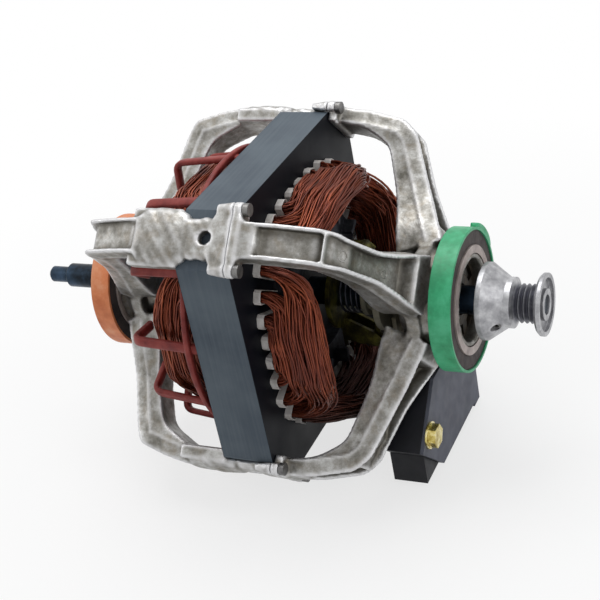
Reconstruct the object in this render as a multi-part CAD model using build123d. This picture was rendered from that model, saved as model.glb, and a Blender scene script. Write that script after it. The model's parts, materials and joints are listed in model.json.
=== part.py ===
"""Open-frame induction motor of a tumble dryer, as separate parts.

Places along the shaft are measured from the middle of the lamination stack, with +X towards
the belt pulley and +Z up. Every part is moved at export so that the origin is the centre of
the pulley-end mounting ring. All lengths are millimetres, all angles degrees.
"""
import os
from math import cos, hypot, pi, radians, sin, sqrt

from build123d import *

# Lamination stack
stack_side = 133.6
stack_thickness = 24.5
half_stack = stack_thickness / 2
corner_flat = 81.5          # axis to the flat across each corner
bore_radius = 40.5
slot_count = 32             # eight behind each flat, none on its middle
slot_mouth_width = 2.4
slot_mouth_depth = 1.6
slot_neck_width = 4.2
slot_root_width = 6.6
slot_root_flat = 4.0        # width of the flat across the slot bottom
slot_root_at_flat = 54.0    # slot bottom radius behind the middle of a flat
slot_root_at_corner = 61.5  # slot bottom radius towards a corner

# Slot liners
liner_thickness = 0.4
liner_overhang = 3.2
liner_clearance = 0.05

# Main windings, one group of concentric coils behind each flat
wire_diameter = 2.6
wire_clearance = 1.0
wire_liner_gap = 0.3        # slot bottom's liner to the first loop
wire_sides = 6
coil_slot_counts = (4, 3, 2)    # slots from the middle of the flat, counting the coil's own
coil_loop_counts = (2, 2, 1)
coil_bend_radius = 5.0
coil_overhang = 24.5        # how far the outer loop stands past the stack

# Insulating cage over the blower-side end windings
cage_rim_inset = 1.8        # stack side to the middle of the rim
cage_rim_width = 3.4
cage_rim_x = 5.5            # stack face to the middle of the rim
cage_reach = 37.0           # stack face to the outside of the fingers
cage_bar_width = 4.6
cage_bar_thickness = 2.8
cage_corner_step = 3.0      # rim to the fingers' outer corner
cage_tip_step = 19.5        # rim to the fingers' tips
cage_finger_count = 12
cage_first_finger = 24.0

# End brackets, arms on the four corners
arm_width = 16.0
arm_wall = 2.4
arm_floor = 2.8
arm_bend_radius = 4.0
arm_overlap = 1.5           # hub plate's edge to the arm's outer edge there
arm_root_step = 3.0         # start of the hub's neck to the arm's inner edge there
pad_height = 6.0            # stack's corner flat to the top of a corner pad
pad_width = 25.0
pad_edge_height = 1.8       # corner flat to the edges of the arched pad
pad_length_past_stack = 23.0
pad_hole_radius = 3.0
pad_hole_x = 1.0
foot_thickness = 4.0        # pulley-end foot that clamps the stack
foot_depth = 4.0            # corner flat to the foot's inner edge
foot_edge = half_stack + foot_thickness
pad_edge = half_stack + pad_length_past_stack
pad_radius = corner_flat + pad_height
foot_inner_radius = corner_flat - foot_depth

# Edges of an arm seen from its side: place along the shaft, distance from the shaft
pulley_arm_outer = ((foot_edge, 86.0), (30.0, 84.8), (48.0, 80.0), (55.0, 75.0), (60.0, 58.0))
pulley_arm_inner = ((foot_edge, 79.0), (30.0, 77.0), (42.0, 69.0), (51.0, 38.0))
blower_arm_outer = ((pad_edge, 86.0), (46.0, 83.8), (60.0, 79.5), (64.0, 70.0))
blower_arm_inner = ((pad_edge, 77.0), (50.0, 68.5), (56.0, 48.0))

hub_face_x = 72.0
hub_plate_step = 2.0        # shoulder to the plate's edge
hub_plate_thickness = 6.0
hub_shoulder_step = 2.05    # ring seat to the shoulder it stands against
hub_neck_wall = 6.5
hub_neck_length = 12.0      # bearing housing inside the hub plate
hub_spigot_wall = 2.05
hub_recess_depth = 7.0

# Bracket screws
screw_radius = 1.5
screw_clearance = 0.2
screw_head_radius = 2.8
screw_head_height = 2.4
screw_length = 11.0
screw_offset = 12.8         # sideways from the middle of the arm
screw_pitch_radius = 83.6
screw_boss_radius = 3.4

# Resilient mounting rings
ring_radius = 31.75
ring_width = 9.6
ring_band_thickness = 1.2
ring_rubber_thickness = 6.45
ring_rubber_recess = 0.8
ring_sleeve_thickness = 3.6
pulley_ring_x = 84.4
blower_ring_x = 82.9
seat_clearance = 0.05       # between parts that sit tight on each other
ring_rubber_inner_radius = ring_radius - ring_band_thickness - ring_rubber_thickness
ring_sleeve_inner_radius = ring_rubber_inner_radius - ring_sleeve_thickness
hub_seat_radius = ring_sleeve_inner_radius - seat_clearance
hub_recess_radius = hub_seat_radius - hub_spigot_wall
hub_shoulder_radius = hub_seat_radius + hub_shoulder_step

# Shaft and bearings
shaft_radius = 6.35
shaft_blower_radius = 5.9   # turned down for the blower wheel
shaft_blower_shoulder = 89.5
shaft_blower_end = 132.2
shaft_thread_radius = 3.95
shaft_thread_length = 11.0
shaft_thread_chamfer = 1.2
shaft_pulley_radius = 4.35
shaft_shoulder_x = 95.5
shaft_end_recess = 1.0      # shaft end lies inside the pulley face
running_clearance = 0.04
bearing_radius = 9.5
hub_neck_radius = bearing_radius + hub_neck_wall
bearing_length = 20.0
bearing_cap_thickness = 1.6
bearing_cap_slots = 4
bearing_cap_slot_width = 5.0
bearing_cap_slot_margin = 1.9   # slots to the cap's edge, and to the bearing's bore
washer_radius = 9.0
washer_thickness = 1.2
washer_end_play = 0.3

# Rotor
air_gap = 0.4
rotor_bar_count = 32
rotor_bar_width = 2.4
rotor_bar_depth = 8.0
rotor_rim_land = 1.3
end_ring_inner_radius = 26.0
end_ring_thickness = 6.5
fin_count = 12
fin_height = 5.5
fin_length = 7.0
fin_thickness = 2.0

# Centrifugal governor
carrier_gap = 1.5
carrier_thickness = 2.0
carrier_radius = 16.5
governor_spring_length = 12.0
governor_spring_wire = 1.4
governor_spring_sides = 6
governor_spring_radius = 8.6
governor_spring_turns = 4
spring_end_gap = 0.2
collar_radius = 8.6
collar_end_land = 2.2
collar_groove_width = 4.0
collar_groove_radius = 7.4
collar_groove_land = 2.0
collar_flange_radius = 16.0
collar_flange_thickness = 3.0
governor_travel = 4.0
weight_pivot_radius = 22.0
weight_thickness = 5.0
weight_finger_width = 2.6
weight_finger_depth = 0.9   # how far the finger enters the collar groove
weight_boss_radius = 3.6
weight_arm_length = 11.0
weight_arm_height = 6.0
weight_side_clearance = 0.3
weight_pin_radius = 1.5
carrier_ear_thickness = 1.6

# Belt pulley
pulley_start_x = 94.8
pulley_cone_radius = 17.05
pulley_rim_width = 2.2
pulley_cone_end_x = 105.4
pulley_neck_radius = 11.1
pulley_neck_width = 2.6
pulley_groove_radius = 8.6
pulley_groove_count = 4
pulley_groove_pitch = 2.34
pulley_groove_depth = 1.3
pulley_flange_radius = 13.6
pulley_flange_thickness = 2.6
pulley_flange_chamfer = 1.0
pulley_face_recess_radius = 11.6
pulley_face_recess_depth = 1.8
pulley_hub_radius = 6.9
pulley_boss_radius = 8.5     # boss against the shaft's shoulder
pulley_back_recess_depth = 4.0
set_screw_radius = 2.0
set_screw_angle = 205.0
set_screw_socket_radius = 1.2
set_screw_socket_depth = 1.5

# Starting switch under the pulley-end hub
switch_cover_x = 71.5       # outside of the cover
switch_cover_thickness = 1.6
switch_depth = 16.5
switch_wall = 1.8
switch_arm_gap = 4.7        # housing side to the arm flange beside it
switch_top = -33.0
switch_side_reach = 57.0    # height of the left corner below the axis
switch_bottom = -78.5
switch_right = 38.0
switch_foot_bottom = -80.5
switch_foot_width = 8.0
terminal_block_front = -33.5
terminal_block_bottom = -78.0
terminal_block_width = 16.0
terminal_block_length = 16.0
terminal_block_height = 16.0
terminal_slot_width = 1.2
terminal_slot_length = 7.0
terminal_inset = 4.4
terminal_count = 3
terminal_pitch = 4.6
terminal_blade_length = 7.0
switch_screw_radius = 2.1
switch_screw_across_flats = 9.5
switch_screw_head_height = 4.4
switch_screw_flange_radius = 6.2
switch_screw_flange_thickness = 1.0
switch_screw_arm_offset = 17.6
switch_screw_arm_radius = 58.5
switch_screw_bite = 6.0     # screw past the housing's back
switch_screw_boss_wall = 2.4
switch_web_width = 12.0      # where it leaves the arm
switch_web_depth = 7.0

# Switch lever and its contact leaf
lever_pivot_z = -38.0
lever_pivot_x = 57.2
lever_thickness = 2.0
lever_width = 9.0
lever_tip_z = -9.5
lever_gap = 0.25            # lever to collar flange
lever_pin_radius = 1.5
lever_boss_radius = 3.2
lever_heel_length = 9.0
lever_window_gap = 0.8
lever_ear_gap = 0.3
lever_ear_width = 2.7
lever_fork_clearance = 2.15
leaf_thickness = 0.5
leaf_width = 5.0
leaf_gap = 1.8              # lever's heel to the leaf
leaf_overlap = 1.5
contact_radius = 1.8
contact_height = 1.0
contact_gap = 0.4

half_arm = arm_width / 2
corner_angles = (45, 135, 225, 315)


def across_x(sketch, x_start, x_end):
    """Extrude a sketch drawn in the Y-Z plane from one place along the shaft to another."""
    return extrude(Plane.YZ.offset(x_start) * sketch, x_end - x_start)


def pipe_x(outer, inner, x_start, x_end):
    """Plain ring or tube round the shaft axis."""
    return across_x(Circle(outer) - Circle(inner), x_start, x_end)


def rod_x(radius, x_start, x_end):
    """Plain round bar on the shaft axis."""
    return across_x(Circle(radius), x_start, x_end)


def turned(points):
    """Solid of revolution about the shaft from (x, radius) points."""
    return revolve(make_face(Polyline(*points, close=True)), Axis.X, 360)


def about_shaft(part, angle):
    """Turn a part about the shaft, angle counted from +Y towards +Z."""
    return Rot(angle, 0, 0) * part


def side_block(face, half_width):
    """Extrude a face drawn as (x, height) to both sides of the X-Z plane."""
    return extrude(Plane.XZ * face, half_width, both=True)


def one(parts):
    """Join a list of parts."""
    result = parts[0]
    for part in parts[1:]:
        result = result + part
    return result


def corner_axis(angle):
    """Location that turns an arm drawn upright, radius along +Z, to a corner angle."""
    return Rot(angle - 90, 0, 0)


# Stator

def slot_root_radius(angle):
    """Slot bottom radius: shallow behind a flat, deep towards a corner."""
    share = (1 - cos(radians(4 * angle))) / 2
    return slot_root_at_flat + (slot_root_at_corner - slot_root_at_flat) * share


def slot_face(angle, margin):
    """Slot outline less a margin all round, drawn along +Y, with a chamfered bottom."""
    neck = bore_radius + slot_mouth_depth + margin
    neck_half = slot_neck_width / 2 - margin
    root_half = slot_root_width / 2 - margin
    flat_half = slot_root_flat / 2 - margin / 2
    root = slot_root_radius(angle) - margin
    shoulder = root - (root_half - flat_half)
    half = [(neck, neck_half), (shoulder, root_half), (root, flat_half)]
    return make_face(Polyline(*half, *[(x, -y) for x, y in reversed(half)], close=True))


def slot_angles():
    return [360 / slot_count * (index + 0.5) for index in range(slot_count)]


def stator_stack():
    plate = Rectangle(stack_side, stack_side)
    plate &= Rot(0, 0, 45) * Rectangle(2 * corner_flat, 2 * corner_flat)
    plate -= Circle(bore_radius)
    mouth_length = slot_mouth_depth + 1
    mouth = Pos(bore_radius + mouth_length / 2 - 0.5) * Rectangle(mouth_length, slot_mouth_width)
    cuts = []
    for angle in slot_angles():
        cuts.append(Rot(0, 0, angle) * slot_face(angle, 0))
        cuts.append(Rot(0, 0, angle) * mouth)
    plate -= cuts
    return across_x(plate, -half_stack, half_stack)


def slot_liners():
    """One folded insulating channel per slot, standing out of both stack faces."""
    reach = half_stack + liner_overhang
    opening = Pos(bore_radius + slot_mouth_depth) * Rectangle(3 * liner_thickness, slot_neck_width)
    liners = []
    for angle in slot_angles():
        outside = slot_face(angle, liner_clearance)
        inside = slot_face(angle, liner_clearance + liner_thickness)
        liners.append(across_x(Rot(0, 0, angle) * (outside - inside - opening), -reach, reach))
    return liners


# Main windings

def coil_points():
    """Corner points of one winding, drawn for the flat on +Z, as loops that step inwards.

    Sides run along the shaft in their slots, and each end turn crosses behind the flat. Every
    loop is one wire pitch shorter than the one before, so the end turns lie side by side.
    """
    pitch = wire_diameter + wire_clearance
    points = []
    reach = half_stack + coil_overhang
    first_depth = liner_clearance + liner_thickness + wire_liner_gap + wire_diameter / 2
    for coil, loops in zip(coil_slot_counts, coil_loop_counts):
        turn = 360 / slot_count * (coil - 0.5)
        angle = radians(turn)
        root = slot_root_radius(turn)
        for loop in range(loops):
            radius = root - first_depth - loop * pitch
            side = radius * sin(angle)
            height = radius * cos(angle)
            points += [(-reach, -side, height), (reach, -side, height),
                       (reach, side, height), (-reach, side, height)]
            reach -= pitch
    return points


def coil_path():
    return FilletPolyline(*coil_points(), radius=coil_bend_radius)


def main_winding():
    path = coil_path()
    return sweep(Plane(origin=path @ 0, z_dir=path % 0) * RegularPolygon(wire_diameter / 2, wire_sides),
                 path=path)


def least_gap_to_itself(path, diameter):
    """Least distance between turns of one tube, from points two diameters apart or more."""
    step = diameter / 2
    count = int(path.length / step)
    samples = [path @ (index / count) for index in range(count + 1)]
    apart = 8 * 2
    least = path.length
    for first in range(0, count + 1, 2):
        for second in range(first + apart, count + 1):
            distance = (samples[first] - samples[second]).length
            least = min(least, distance)
    return least - diameter


def end_winding_cage():
    face = -half_stack
    rim_x = face - cage_rim_x
    cage_rim_radius = stack_side / 2 - cage_rim_inset
    corner_radius = cage_rim_radius - cage_corner_step
    tip_radius = cage_rim_radius - cage_tip_step
    rim = pipe_x(cage_rim_radius + cage_rim_width / 2, cage_rim_radius - cage_rim_width / 2,
                 rim_x - cage_bar_thickness / 2, rim_x + cage_bar_thickness / 2)
    outer_x = face - cage_reach
    bar_outline = make_face(Polyline(
        (face, cage_rim_radius), (rim_x, cage_rim_radius),
        (outer_x, corner_radius), (outer_x, tip_radius),
        (outer_x + cage_bar_thickness, tip_radius),
        (outer_x + cage_bar_thickness, corner_radius - cage_bar_thickness),
        (rim_x, cage_rim_radius - cage_bar_thickness), (face, cage_rim_radius - cage_bar_thickness),
        close=True))
    finger = side_block(bar_outline, cage_bar_width / 2)
    angles = [cage_first_finger + 360 / cage_finger_count * index for index in range(cage_finger_count)]
    return one([rim] + [corner_axis(angle) * finger for angle in angles])


# Brackets

def arm(outer_points, inner_points):
    """Channel open outwards: two side walls on a floor, between an outer and an inner edge.

    Its pocket starts one wall past the foot, so an end wall stands there. Drawn for the pulley
    end, with the foot at the first point, and led on to the hub's plate and neck.
    """
    plate_edge = hub_shoulder_radius + hub_plate_step + arm_overlap
    outer_points = (*outer_points, (hub_face_x, plate_edge))
    inner_points = (*inner_points, (hub_face_x - hub_neck_length - arm_root_step, hub_neck_radius))
    outer = FilletPolyline(*outer_points, radius=arm_bend_radius)
    inner = FilletPolyline(*inner_points, radius=arm_bend_radius)
    ends = [Line(outer_points[0], inner_points[0]), Line(outer_points[-1], inner_points[-1])]
    side = make_face([outer, inner] + ends)
    hollow = side - trace(inner, 2 * arm_floor)
    foot = Pos(outer_points[0][0], outer_points[0][1]) * Rectangle(2 * arm_wall, 2 * half_arm)
    return side_block(side, half_arm) - side_block(hollow - foot, half_arm - arm_wall)


def pad_arch(x_start, x_end):
    """Arched corner pad that lies on the stack's corner flat."""
    edge = corner_flat + pad_edge_height
    half = pad_width / 2
    outline = make_face([Polyline((half, edge), (half, corner_flat), (-half, corner_flat), (-half, edge)),
                         ThreePointArc((-half, edge), (0, pad_radius), (half, edge))])
    return across_x(outline, x_start, x_end)


def screw_places():
    return [Pos(offset, screw_pitch_radius) for offset in (-screw_offset, screw_offset)]


def screw_bosses(x_start, x_end):
    """Round ears that carry the two bracket screws of a corner, clear of the stack's corner flat."""
    above = Pos(0, corner_flat + pad_width / 2) * Rectangle(2 * pad_width, pad_width)
    webs = Pos(0, screw_pitch_radius) * Rectangle(2 * screw_offset, screw_boss_radius)
    lobes = [place * Circle(screw_boss_radius) for place in screw_places()]
    return across_x((lobes[0] + lobes[1] + webs) & above, x_start, x_end)


def screw_holes(radius, x_start, x_end):
    holes = [place * Circle(radius) for place in screw_places()]
    return across_x(holes[0] + holes[1], x_start, x_end)


def hub(ring_x):
    """Hub plate, bearing housing and ring seat, drawn for the pulley end."""
    plate_radius = hub_shoulder_radius + hub_plate_step
    ring_start = ring_x - ring_width / 2
    end_x = ring_x + ring_width / 2
    neck_x = hub_face_x - hub_neck_length
    plate_x = hub_face_x - hub_plate_thickness
    profile = [
        (neck_x, bearing_radius + seat_clearance),
        (neck_x, hub_neck_radius),
        (plate_x, hub_neck_radius + 2),
        (plate_x, plate_radius),
        (hub_face_x, plate_radius),
        (hub_face_x + 1.5, hub_shoulder_radius),
        (ring_start, hub_shoulder_radius),
        (ring_start, hub_seat_radius),
        (end_x, hub_seat_radius),
        (end_x, hub_recess_radius),
        (end_x - hub_recess_depth, hub_recess_radius),
        (end_x - hub_recess_depth, bearing_radius + seat_clearance),
    ]
    return turned(profile)


def four_arms(hub_part, upright, ring_x):
    """Four corner arms on one hub, with the bearing's bore cut through them."""
    body = one([hub_part] + [corner_axis(angle) * upright for angle in corner_angles])
    return body - rod_x(bearing_radius + seat_clearance, half_stack, ring_x)


def pulley_bracket():
    sole = Pos(0, (foot_inner_radius + corner_flat) / 2) \
        * Rectangle(pad_width, corner_flat - foot_inner_radius)
    upright = arm(pulley_arm_outer, pulley_arm_inner) + pad_arch(half_stack, foot_edge) \
        + screw_bosses(half_stack, foot_edge) + across_x(sole, half_stack, foot_edge)
    upright -= screw_holes(screw_radius + screw_clearance, half_stack, foot_edge)
    body = four_arms(hub(pulley_ring_x), upright, pulley_ring_x)
    lug_x = switch_back_x()
    lug_start = lug_x - switch_web_depth
    bore_radius_here = switch_screw_radius + seat_clearance
    boss = Circle(bore_radius_here + switch_screw_boss_wall)
    boss = across_x(switch_screw_place() * boss, lug_start, lug_x)
    web = across_x(arm_to_switch_web(), lug_start, lug_x - arm_wall / 2)
    return body + boss + web - across_x(switch_screw_place() * Circle(bore_radius_here), lug_start, lug_x)


def blower_bracket():
    """Drawn like the pulley bracket, then turned end for end."""
    sole = Pos(0, (foot_inner_radius + corner_flat) / 2) \
        * Rectangle(pad_width, corner_flat - foot_inner_radius)
    upright = arm(blower_arm_outer, blower_arm_inner) + pad_arch(-half_stack, pad_edge) \
        + screw_bosses(-half_stack, screw_length - half_stack) + across_x(sole, half_stack, pad_edge)
    upright -= screw_holes(screw_radius + seat_clearance, -half_stack, screw_length - half_stack)
    upright -= Pos(-pad_hole_x, 0, 0) \
        * Cylinder(pad_hole_radius, pad_radius + 1, align=(Align.CENTER, Align.CENTER, Align.MIN))
    return Rot(0, 0, 180) * four_arms(hub(blower_ring_x), upright, blower_ring_x)


def bracket_screws():
    screws = []
    for angle in corner_angles:
        for place in screw_places():
            shank = across_x(place * Circle(screw_radius), foot_edge - screw_length, foot_edge)
            head = across_x(place * Circle(screw_head_radius), foot_edge, foot_edge + screw_head_height)
            screws.append(corner_axis(angle) * (shank + head))
    return screws


# Mounting rings

def ring_band(ring_x):
    low, high = ring_x - ring_width / 2, ring_x + ring_width / 2
    return pipe_x(ring_radius, ring_radius - ring_band_thickness, low, high)


def ring_rubber(ring_x):
    low, high = ring_x - ring_width / 2, ring_x + ring_width / 2
    outer = ring_radius - ring_band_thickness - seat_clearance
    inner = ring_rubber_inner_radius + seat_clearance
    return pipe_x(outer, inner, low + ring_rubber_recess, high - ring_rubber_recess)


def ring_sleeve(ring_x):
    low, high = ring_x - ring_width / 2, ring_x + ring_width / 2
    return pipe_x(ring_rubber_inner_radius, ring_sleeve_inner_radius, low, high)


# Bearings

def bearing(side, ring_x):
    end = ring_x + ring_width / 2 - hub_recess_depth
    low, high = sorted((side * (end - bearing_length), side * end))
    return pipe_x(bearing_radius, shaft_radius + running_clearance, low, high)


def bearing_cap(side, ring_x):
    """Slotted plate that closes the bearing housing, seated in the hub recess."""
    start = side * (ring_x + ring_width / 2 - hub_recess_depth)
    end = start + side * bearing_cap_thickness
    plate = Circle(hub_recess_radius - seat_clearance) - Circle(shaft_radius + 0.6)
    slot_ring = Circle(hub_recess_radius - bearing_cap_slot_margin) \
        - Circle(bearing_radius + bearing_cap_slot_margin)
    spoke = Pos(hub_recess_radius / 2) * Rectangle(hub_recess_radius, bearing_cap_slot_width)
    spokes = [Rot(0, 0, 360 / bearing_cap_slots * index) * spoke for index in range(bearing_cap_slots)]
    plate -= slot_ring - spokes
    low, high = sorted((start, end))
    return across_x(plate, low, high)


# Rotor

def shaft():
    thread_start = shaft_blower_end - shaft_thread_length
    chamfer = shaft_thread_chamfer
    return turned([
        (-shaft_blower_end, 0), (-shaft_blower_end, shaft_thread_radius - chamfer),
        (-shaft_blower_end + chamfer, shaft_thread_radius), (-thread_start, shaft_thread_radius),
        (-thread_start, shaft_blower_radius - chamfer), (-thread_start + chamfer, shaft_blower_radius),
        (-shaft_blower_shoulder, shaft_blower_radius), (-shaft_blower_shoulder, shaft_radius),
        (shaft_shoulder_x, shaft_radius), (shaft_shoulder_x, shaft_pulley_radius),
        (pulley_end_x() - shaft_end_recess, shaft_pulley_radius), (pulley_end_x() - shaft_end_recess, 0)])


def rotor_bars():
    outer = bore_radius - air_gap - rotor_rim_land
    bar = Pos(outer - rotor_bar_depth / 2) * Rectangle(rotor_bar_depth, rotor_bar_width)
    return [Rot(0, 0, 360 / rotor_bar_count * index) * bar for index in range(rotor_bar_count)]


def rotor_core():
    plate = Circle(bore_radius - air_gap) - Circle(shaft_radius + seat_clearance)
    return across_x(plate - rotor_bars(), -half_stack, half_stack)


def rotor_cage():
    outer = bore_radius - air_gap - rotor_rim_land
    ring = Circle(outer) - Circle(end_ring_inner_radius)
    fin = Pos(outer - 1 - fin_length / 2) * Rectangle(fin_length, fin_thickness)
    fins = [Rot(0, 0, 360 / fin_count * index) * fin for index in range(fin_count)]
    parts = [across_x(bar, -half_stack, half_stack) for bar in rotor_bars()]
    for side in (-1, 1):
        low, high = sorted((side * half_stack, side * (half_stack + end_ring_thickness)))
        parts.append(across_x(ring, low, high))
        tip = side * (half_stack + end_ring_thickness + fin_height)
        low, high = sorted((side * (half_stack + end_ring_thickness), tip))
        parts += [across_x(one_fin, low, high) for one_fin in fins]
    return Part() + parts


def thrust_washers():
    inner = shaft_radius + seat_clearance
    outside = hub_face_x - hub_neck_length - washer_end_play
    return [pipe_x(washer_radius, inner, outside - washer_thickness, outside),
            pipe_x(washer_radius, inner, -outside, washer_thickness - outside)]


# Governor

def carrier_x():
    return half_stack + end_ring_thickness + fin_height + carrier_gap


def collar_start():
    return carrier_x() + carrier_thickness + governor_spring_length


def groove_middle():
    return collar_start() + collar_end_land + collar_groove_width / 2


def flange_end():
    return groove_middle() + collar_groove_width / 2 + collar_groove_land + collar_flange_thickness


def weight_pivot_x():
    """The pivot stands midway along the finger's travel, so the finger moves straight."""
    return groove_middle() - governor_travel / 2


def governor_carrier():
    start = carrier_x()
    plate = pipe_x(carrier_radius, shaft_radius + seat_clearance, start, start + carrier_thickness)
    inner = weight_thickness / 2 + weight_side_clearance
    outer = inner + carrier_ear_thickness
    low = weight_pivot_radius - weight_boss_radius
    ear_outline = make_face(Polyline(
        (start, carrier_radius - 4), (start, weight_pivot_radius + 1),
        (weight_pivot_x(), weight_pivot_radius + weight_boss_radius),
        (weight_pivot_x() + weight_boss_radius, weight_pivot_radius),
        (weight_pivot_x(), low), (start + carrier_thickness + 2, carrier_radius - 4), close=True))
    ear_outline -= Pos(weight_pivot_x(), weight_pivot_radius) * Circle(weight_pin_radius + seat_clearance)
    ear = side_block(ear_outline, outer) - side_block(ear_outline, inner)
    tongue = across_x(Pos(0, (carrier_radius + weight_pivot_radius) / 2)
                      * Rectangle(2 * outer, weight_pivot_radius + 2 - carrier_radius + 6),
                      start, start + carrier_thickness)
    upright = ear + tongue
    return one([plate, upright, about_shaft(upright, 180)])


def weight_outline():
    pivot = Pos(weight_pivot_x(), weight_pivot_radius)
    tip = collar_radius - weight_finger_depth
    finger_length = weight_pivot_radius - tip - weight_finger_width / 2
    middle = groove_middle()
    half = weight_finger_width / 2
    lean = hypot(middle - weight_pivot_x(), finger_length) / finger_length
    finger = make_face(Polyline(
        (weight_pivot_x() - half, weight_pivot_radius),
        (middle - half, weight_pivot_radius - finger_length),
        (middle + half, weight_pivot_radius - finger_length),
        (weight_pivot_x() + half * lean, weight_pivot_radius), close=True))
    finger += Pos(middle, weight_pivot_radius - finger_length) * Circle(half)
    arm_block = Pos(-weight_arm_length / 2, weight_arm_height / 2 - weight_boss_radius / 2) \
        * Rectangle(weight_arm_length, weight_arm_height)
    outline = pivot * (Circle(weight_boss_radius) + arm_block) + finger
    return outline - pivot * Circle(weight_pin_radius + seat_clearance)


def governor_weight(angle):
    return about_shaft(side_block(weight_outline(), weight_thickness / 2), angle)


def weight_pins():
    length = weight_thickness / 2 + weight_side_clearance + carrier_ear_thickness
    pin = side_block(Pos(weight_pivot_x(), weight_pivot_radius) * Circle(weight_pin_radius), length)
    return [pin, about_shaft(pin, 180)]


def biarc(start, start_direction, end, end_direction):
    """Two arcs that leave one point and meet the other along given unit directions."""
    step = end - start
    turn = 2 * (1 - start_direction.dot(end_direction))
    along = step.dot(start_direction + end_direction)
    reach = (sqrt(along ** 2 + turn * step.dot(step)) - along) / turn
    middle = (start + start_direction * reach + end - end_direction * reach) / 2
    first = Edge.make_tangent_arc(start, start_direction, middle)
    return [first, Edge.make_tangent_arc(middle, first % 1, end)]


def coil_spring_path(start_x, length, radius, turns):
    """Helix about the shaft, made of quarter turns that are each a biarc."""
    rise = length / turns
    slope = rise / (2 * pi)
    edges = []
    marks = []
    for quarter in range(4 * turns + 1):
        angle = quarter * pi / 2
        place = Vector(start_x + quarter * rise / 4, radius * cos(angle), radius * sin(angle))
        marks.append((place, Vector(slope, -radius * sin(angle), radius * cos(angle)).normalized()))
    for (start, leaving), (end, arriving) in zip(marks, marks[1:]):
        edges += biarc(start, leaving, end, arriving)
    return Wire(edges)


def governor_spring():
    """Compression spring round the shaft that keeps the collar against the switch lever."""
    space = governor_spring_wire / 2 + spring_end_gap
    path = coil_spring_path(carrier_x() + carrier_thickness + space, governor_spring_length - 2 * space,
                            governor_spring_radius, governor_spring_turns)
    return sweep(Plane(origin=path @ 0, z_dir=path % 0)
                 * RegularPolygon(governor_spring_wire / 2, governor_spring_sides), path=path)


def governor_collar():
    start = collar_start()
    low = groove_middle() - collar_groove_width / 2
    high = groove_middle() + collar_groove_width / 2
    inner = shaft_radius + running_clearance
    flange = flange_end() - collar_flange_thickness
    return turned([(start, inner), (start, collar_radius + 1), (low, collar_radius + 1),
                   (low, collar_groove_radius),
                   (high, collar_groove_radius), (high, collar_radius + 1), (flange, collar_radius + 1),
                   (flange, collar_flange_radius), (flange_end(), collar_flange_radius),
                   (flange_end(), inner)])


# Pulley

def pulley_grooves_start():
    return pulley_cone_end_x + pulley_neck_width + 1.0


def pulley_flange_x():
    return pulley_grooves_start() + pulley_groove_count * pulley_groove_pitch + 0.8


def pulley_end_x():
    return pulley_flange_x() + pulley_flange_thickness


def pulley_body():
    inner = shaft_pulley_radius + seat_clearance
    start = pulley_start_x
    points = [(shaft_shoulder_x + seat_clearance, inner),
              (shaft_shoulder_x + seat_clearance, pulley_boss_radius),
              (start + pulley_back_recess_depth, pulley_boss_radius),
              (start + pulley_back_recess_depth, pulley_cone_radius - pulley_rim_width),
              (start, pulley_cone_radius - pulley_rim_width),
              (start, pulley_cone_radius), (start + pulley_rim_width, pulley_cone_radius),
              (pulley_cone_end_x, pulley_neck_radius),
              (pulley_cone_end_x + pulley_neck_width, pulley_neck_radius),
              (pulley_grooves_start(), pulley_groove_radius)]
    for index in range(pulley_groove_count):
        left = pulley_grooves_start() + index * pulley_groove_pitch
        points += [(left + pulley_groove_pitch / 2, pulley_groove_radius - pulley_groove_depth),
                   (left + pulley_groove_pitch, pulley_groove_radius)]
    recess_x = pulley_end_x() - pulley_face_recess_depth
    points += [(pulley_flange_x(), pulley_flange_radius - pulley_flange_chamfer),
               (pulley_flange_x() + pulley_flange_chamfer, pulley_flange_radius),
               (pulley_end_x(), pulley_flange_radius), (pulley_end_x(), pulley_face_recess_radius),
               (recess_x, pulley_face_recess_radius), (recess_x, pulley_hub_radius),
               (pulley_end_x(), pulley_hub_radius), (pulley_end_x(), inner)]
    return turned(points)


def set_screw_place():
    """Radial axis of the set screw, drawn upright."""
    middle = (pulley_start_x + pulley_back_recess_depth + pulley_cone_end_x) / 2
    return corner_axis(set_screw_angle) * Pos(middle, 0, 0)


def set_screw_cylinder(radius, low, high):
    upright = Pos(0, 0, low) * Cylinder(radius, high - low, align=(Align.CENTER, Align.CENTER, Align.MIN))
    return set_screw_place() * upright


def pulley():
    bore = set_screw_radius + seat_clearance
    return pulley_body() - set_screw_cylinder(bore, shaft_pulley_radius / 2, pulley_cone_radius + 1)


def pulley_set_screw():
    top = pulley_neck_radius + 1.2
    screw = set_screw_cylinder(set_screw_radius, shaft_pulley_radius + seat_clearance, top)
    hexagon = Plane.XY.offset(top - set_screw_socket_depth) * RegularPolygon(set_screw_socket_radius, 6)
    return screw - set_screw_place() * extrude(hexagon, 2 * set_screw_socket_depth)


# Starting switch

def from_arm(offset, radius):
    """Point beside the lower front arm, from its sideways offset and its distance along the arm."""
    share = 1 / sqrt(2)
    return (share * (offset - radius), share * (-offset - radius))


def side_offset():
    return half_arm + switch_arm_gap


def switch_corner_points():
    """Housing outline in (y, z): sides parallel to the two arms beside it, flat bottom."""
    lean = side_offset() * sqrt(2)
    left = -switch_side_reach + lean
    return [(switch_top + lean, switch_top), (left, -switch_side_reach),
            (left + (-switch_side_reach - switch_bottom), switch_bottom),
            (switch_right - switch_foot_width, switch_bottom),
            (switch_right - switch_foot_width, switch_foot_bottom), (switch_right, switch_foot_bottom),
            (switch_right, -switch_right - lean), (-switch_top - lean, switch_top)]


def switch_screw_place():
    y, z = from_arm(switch_screw_arm_offset, switch_screw_arm_radius)
    return Pos(y, z)


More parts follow.
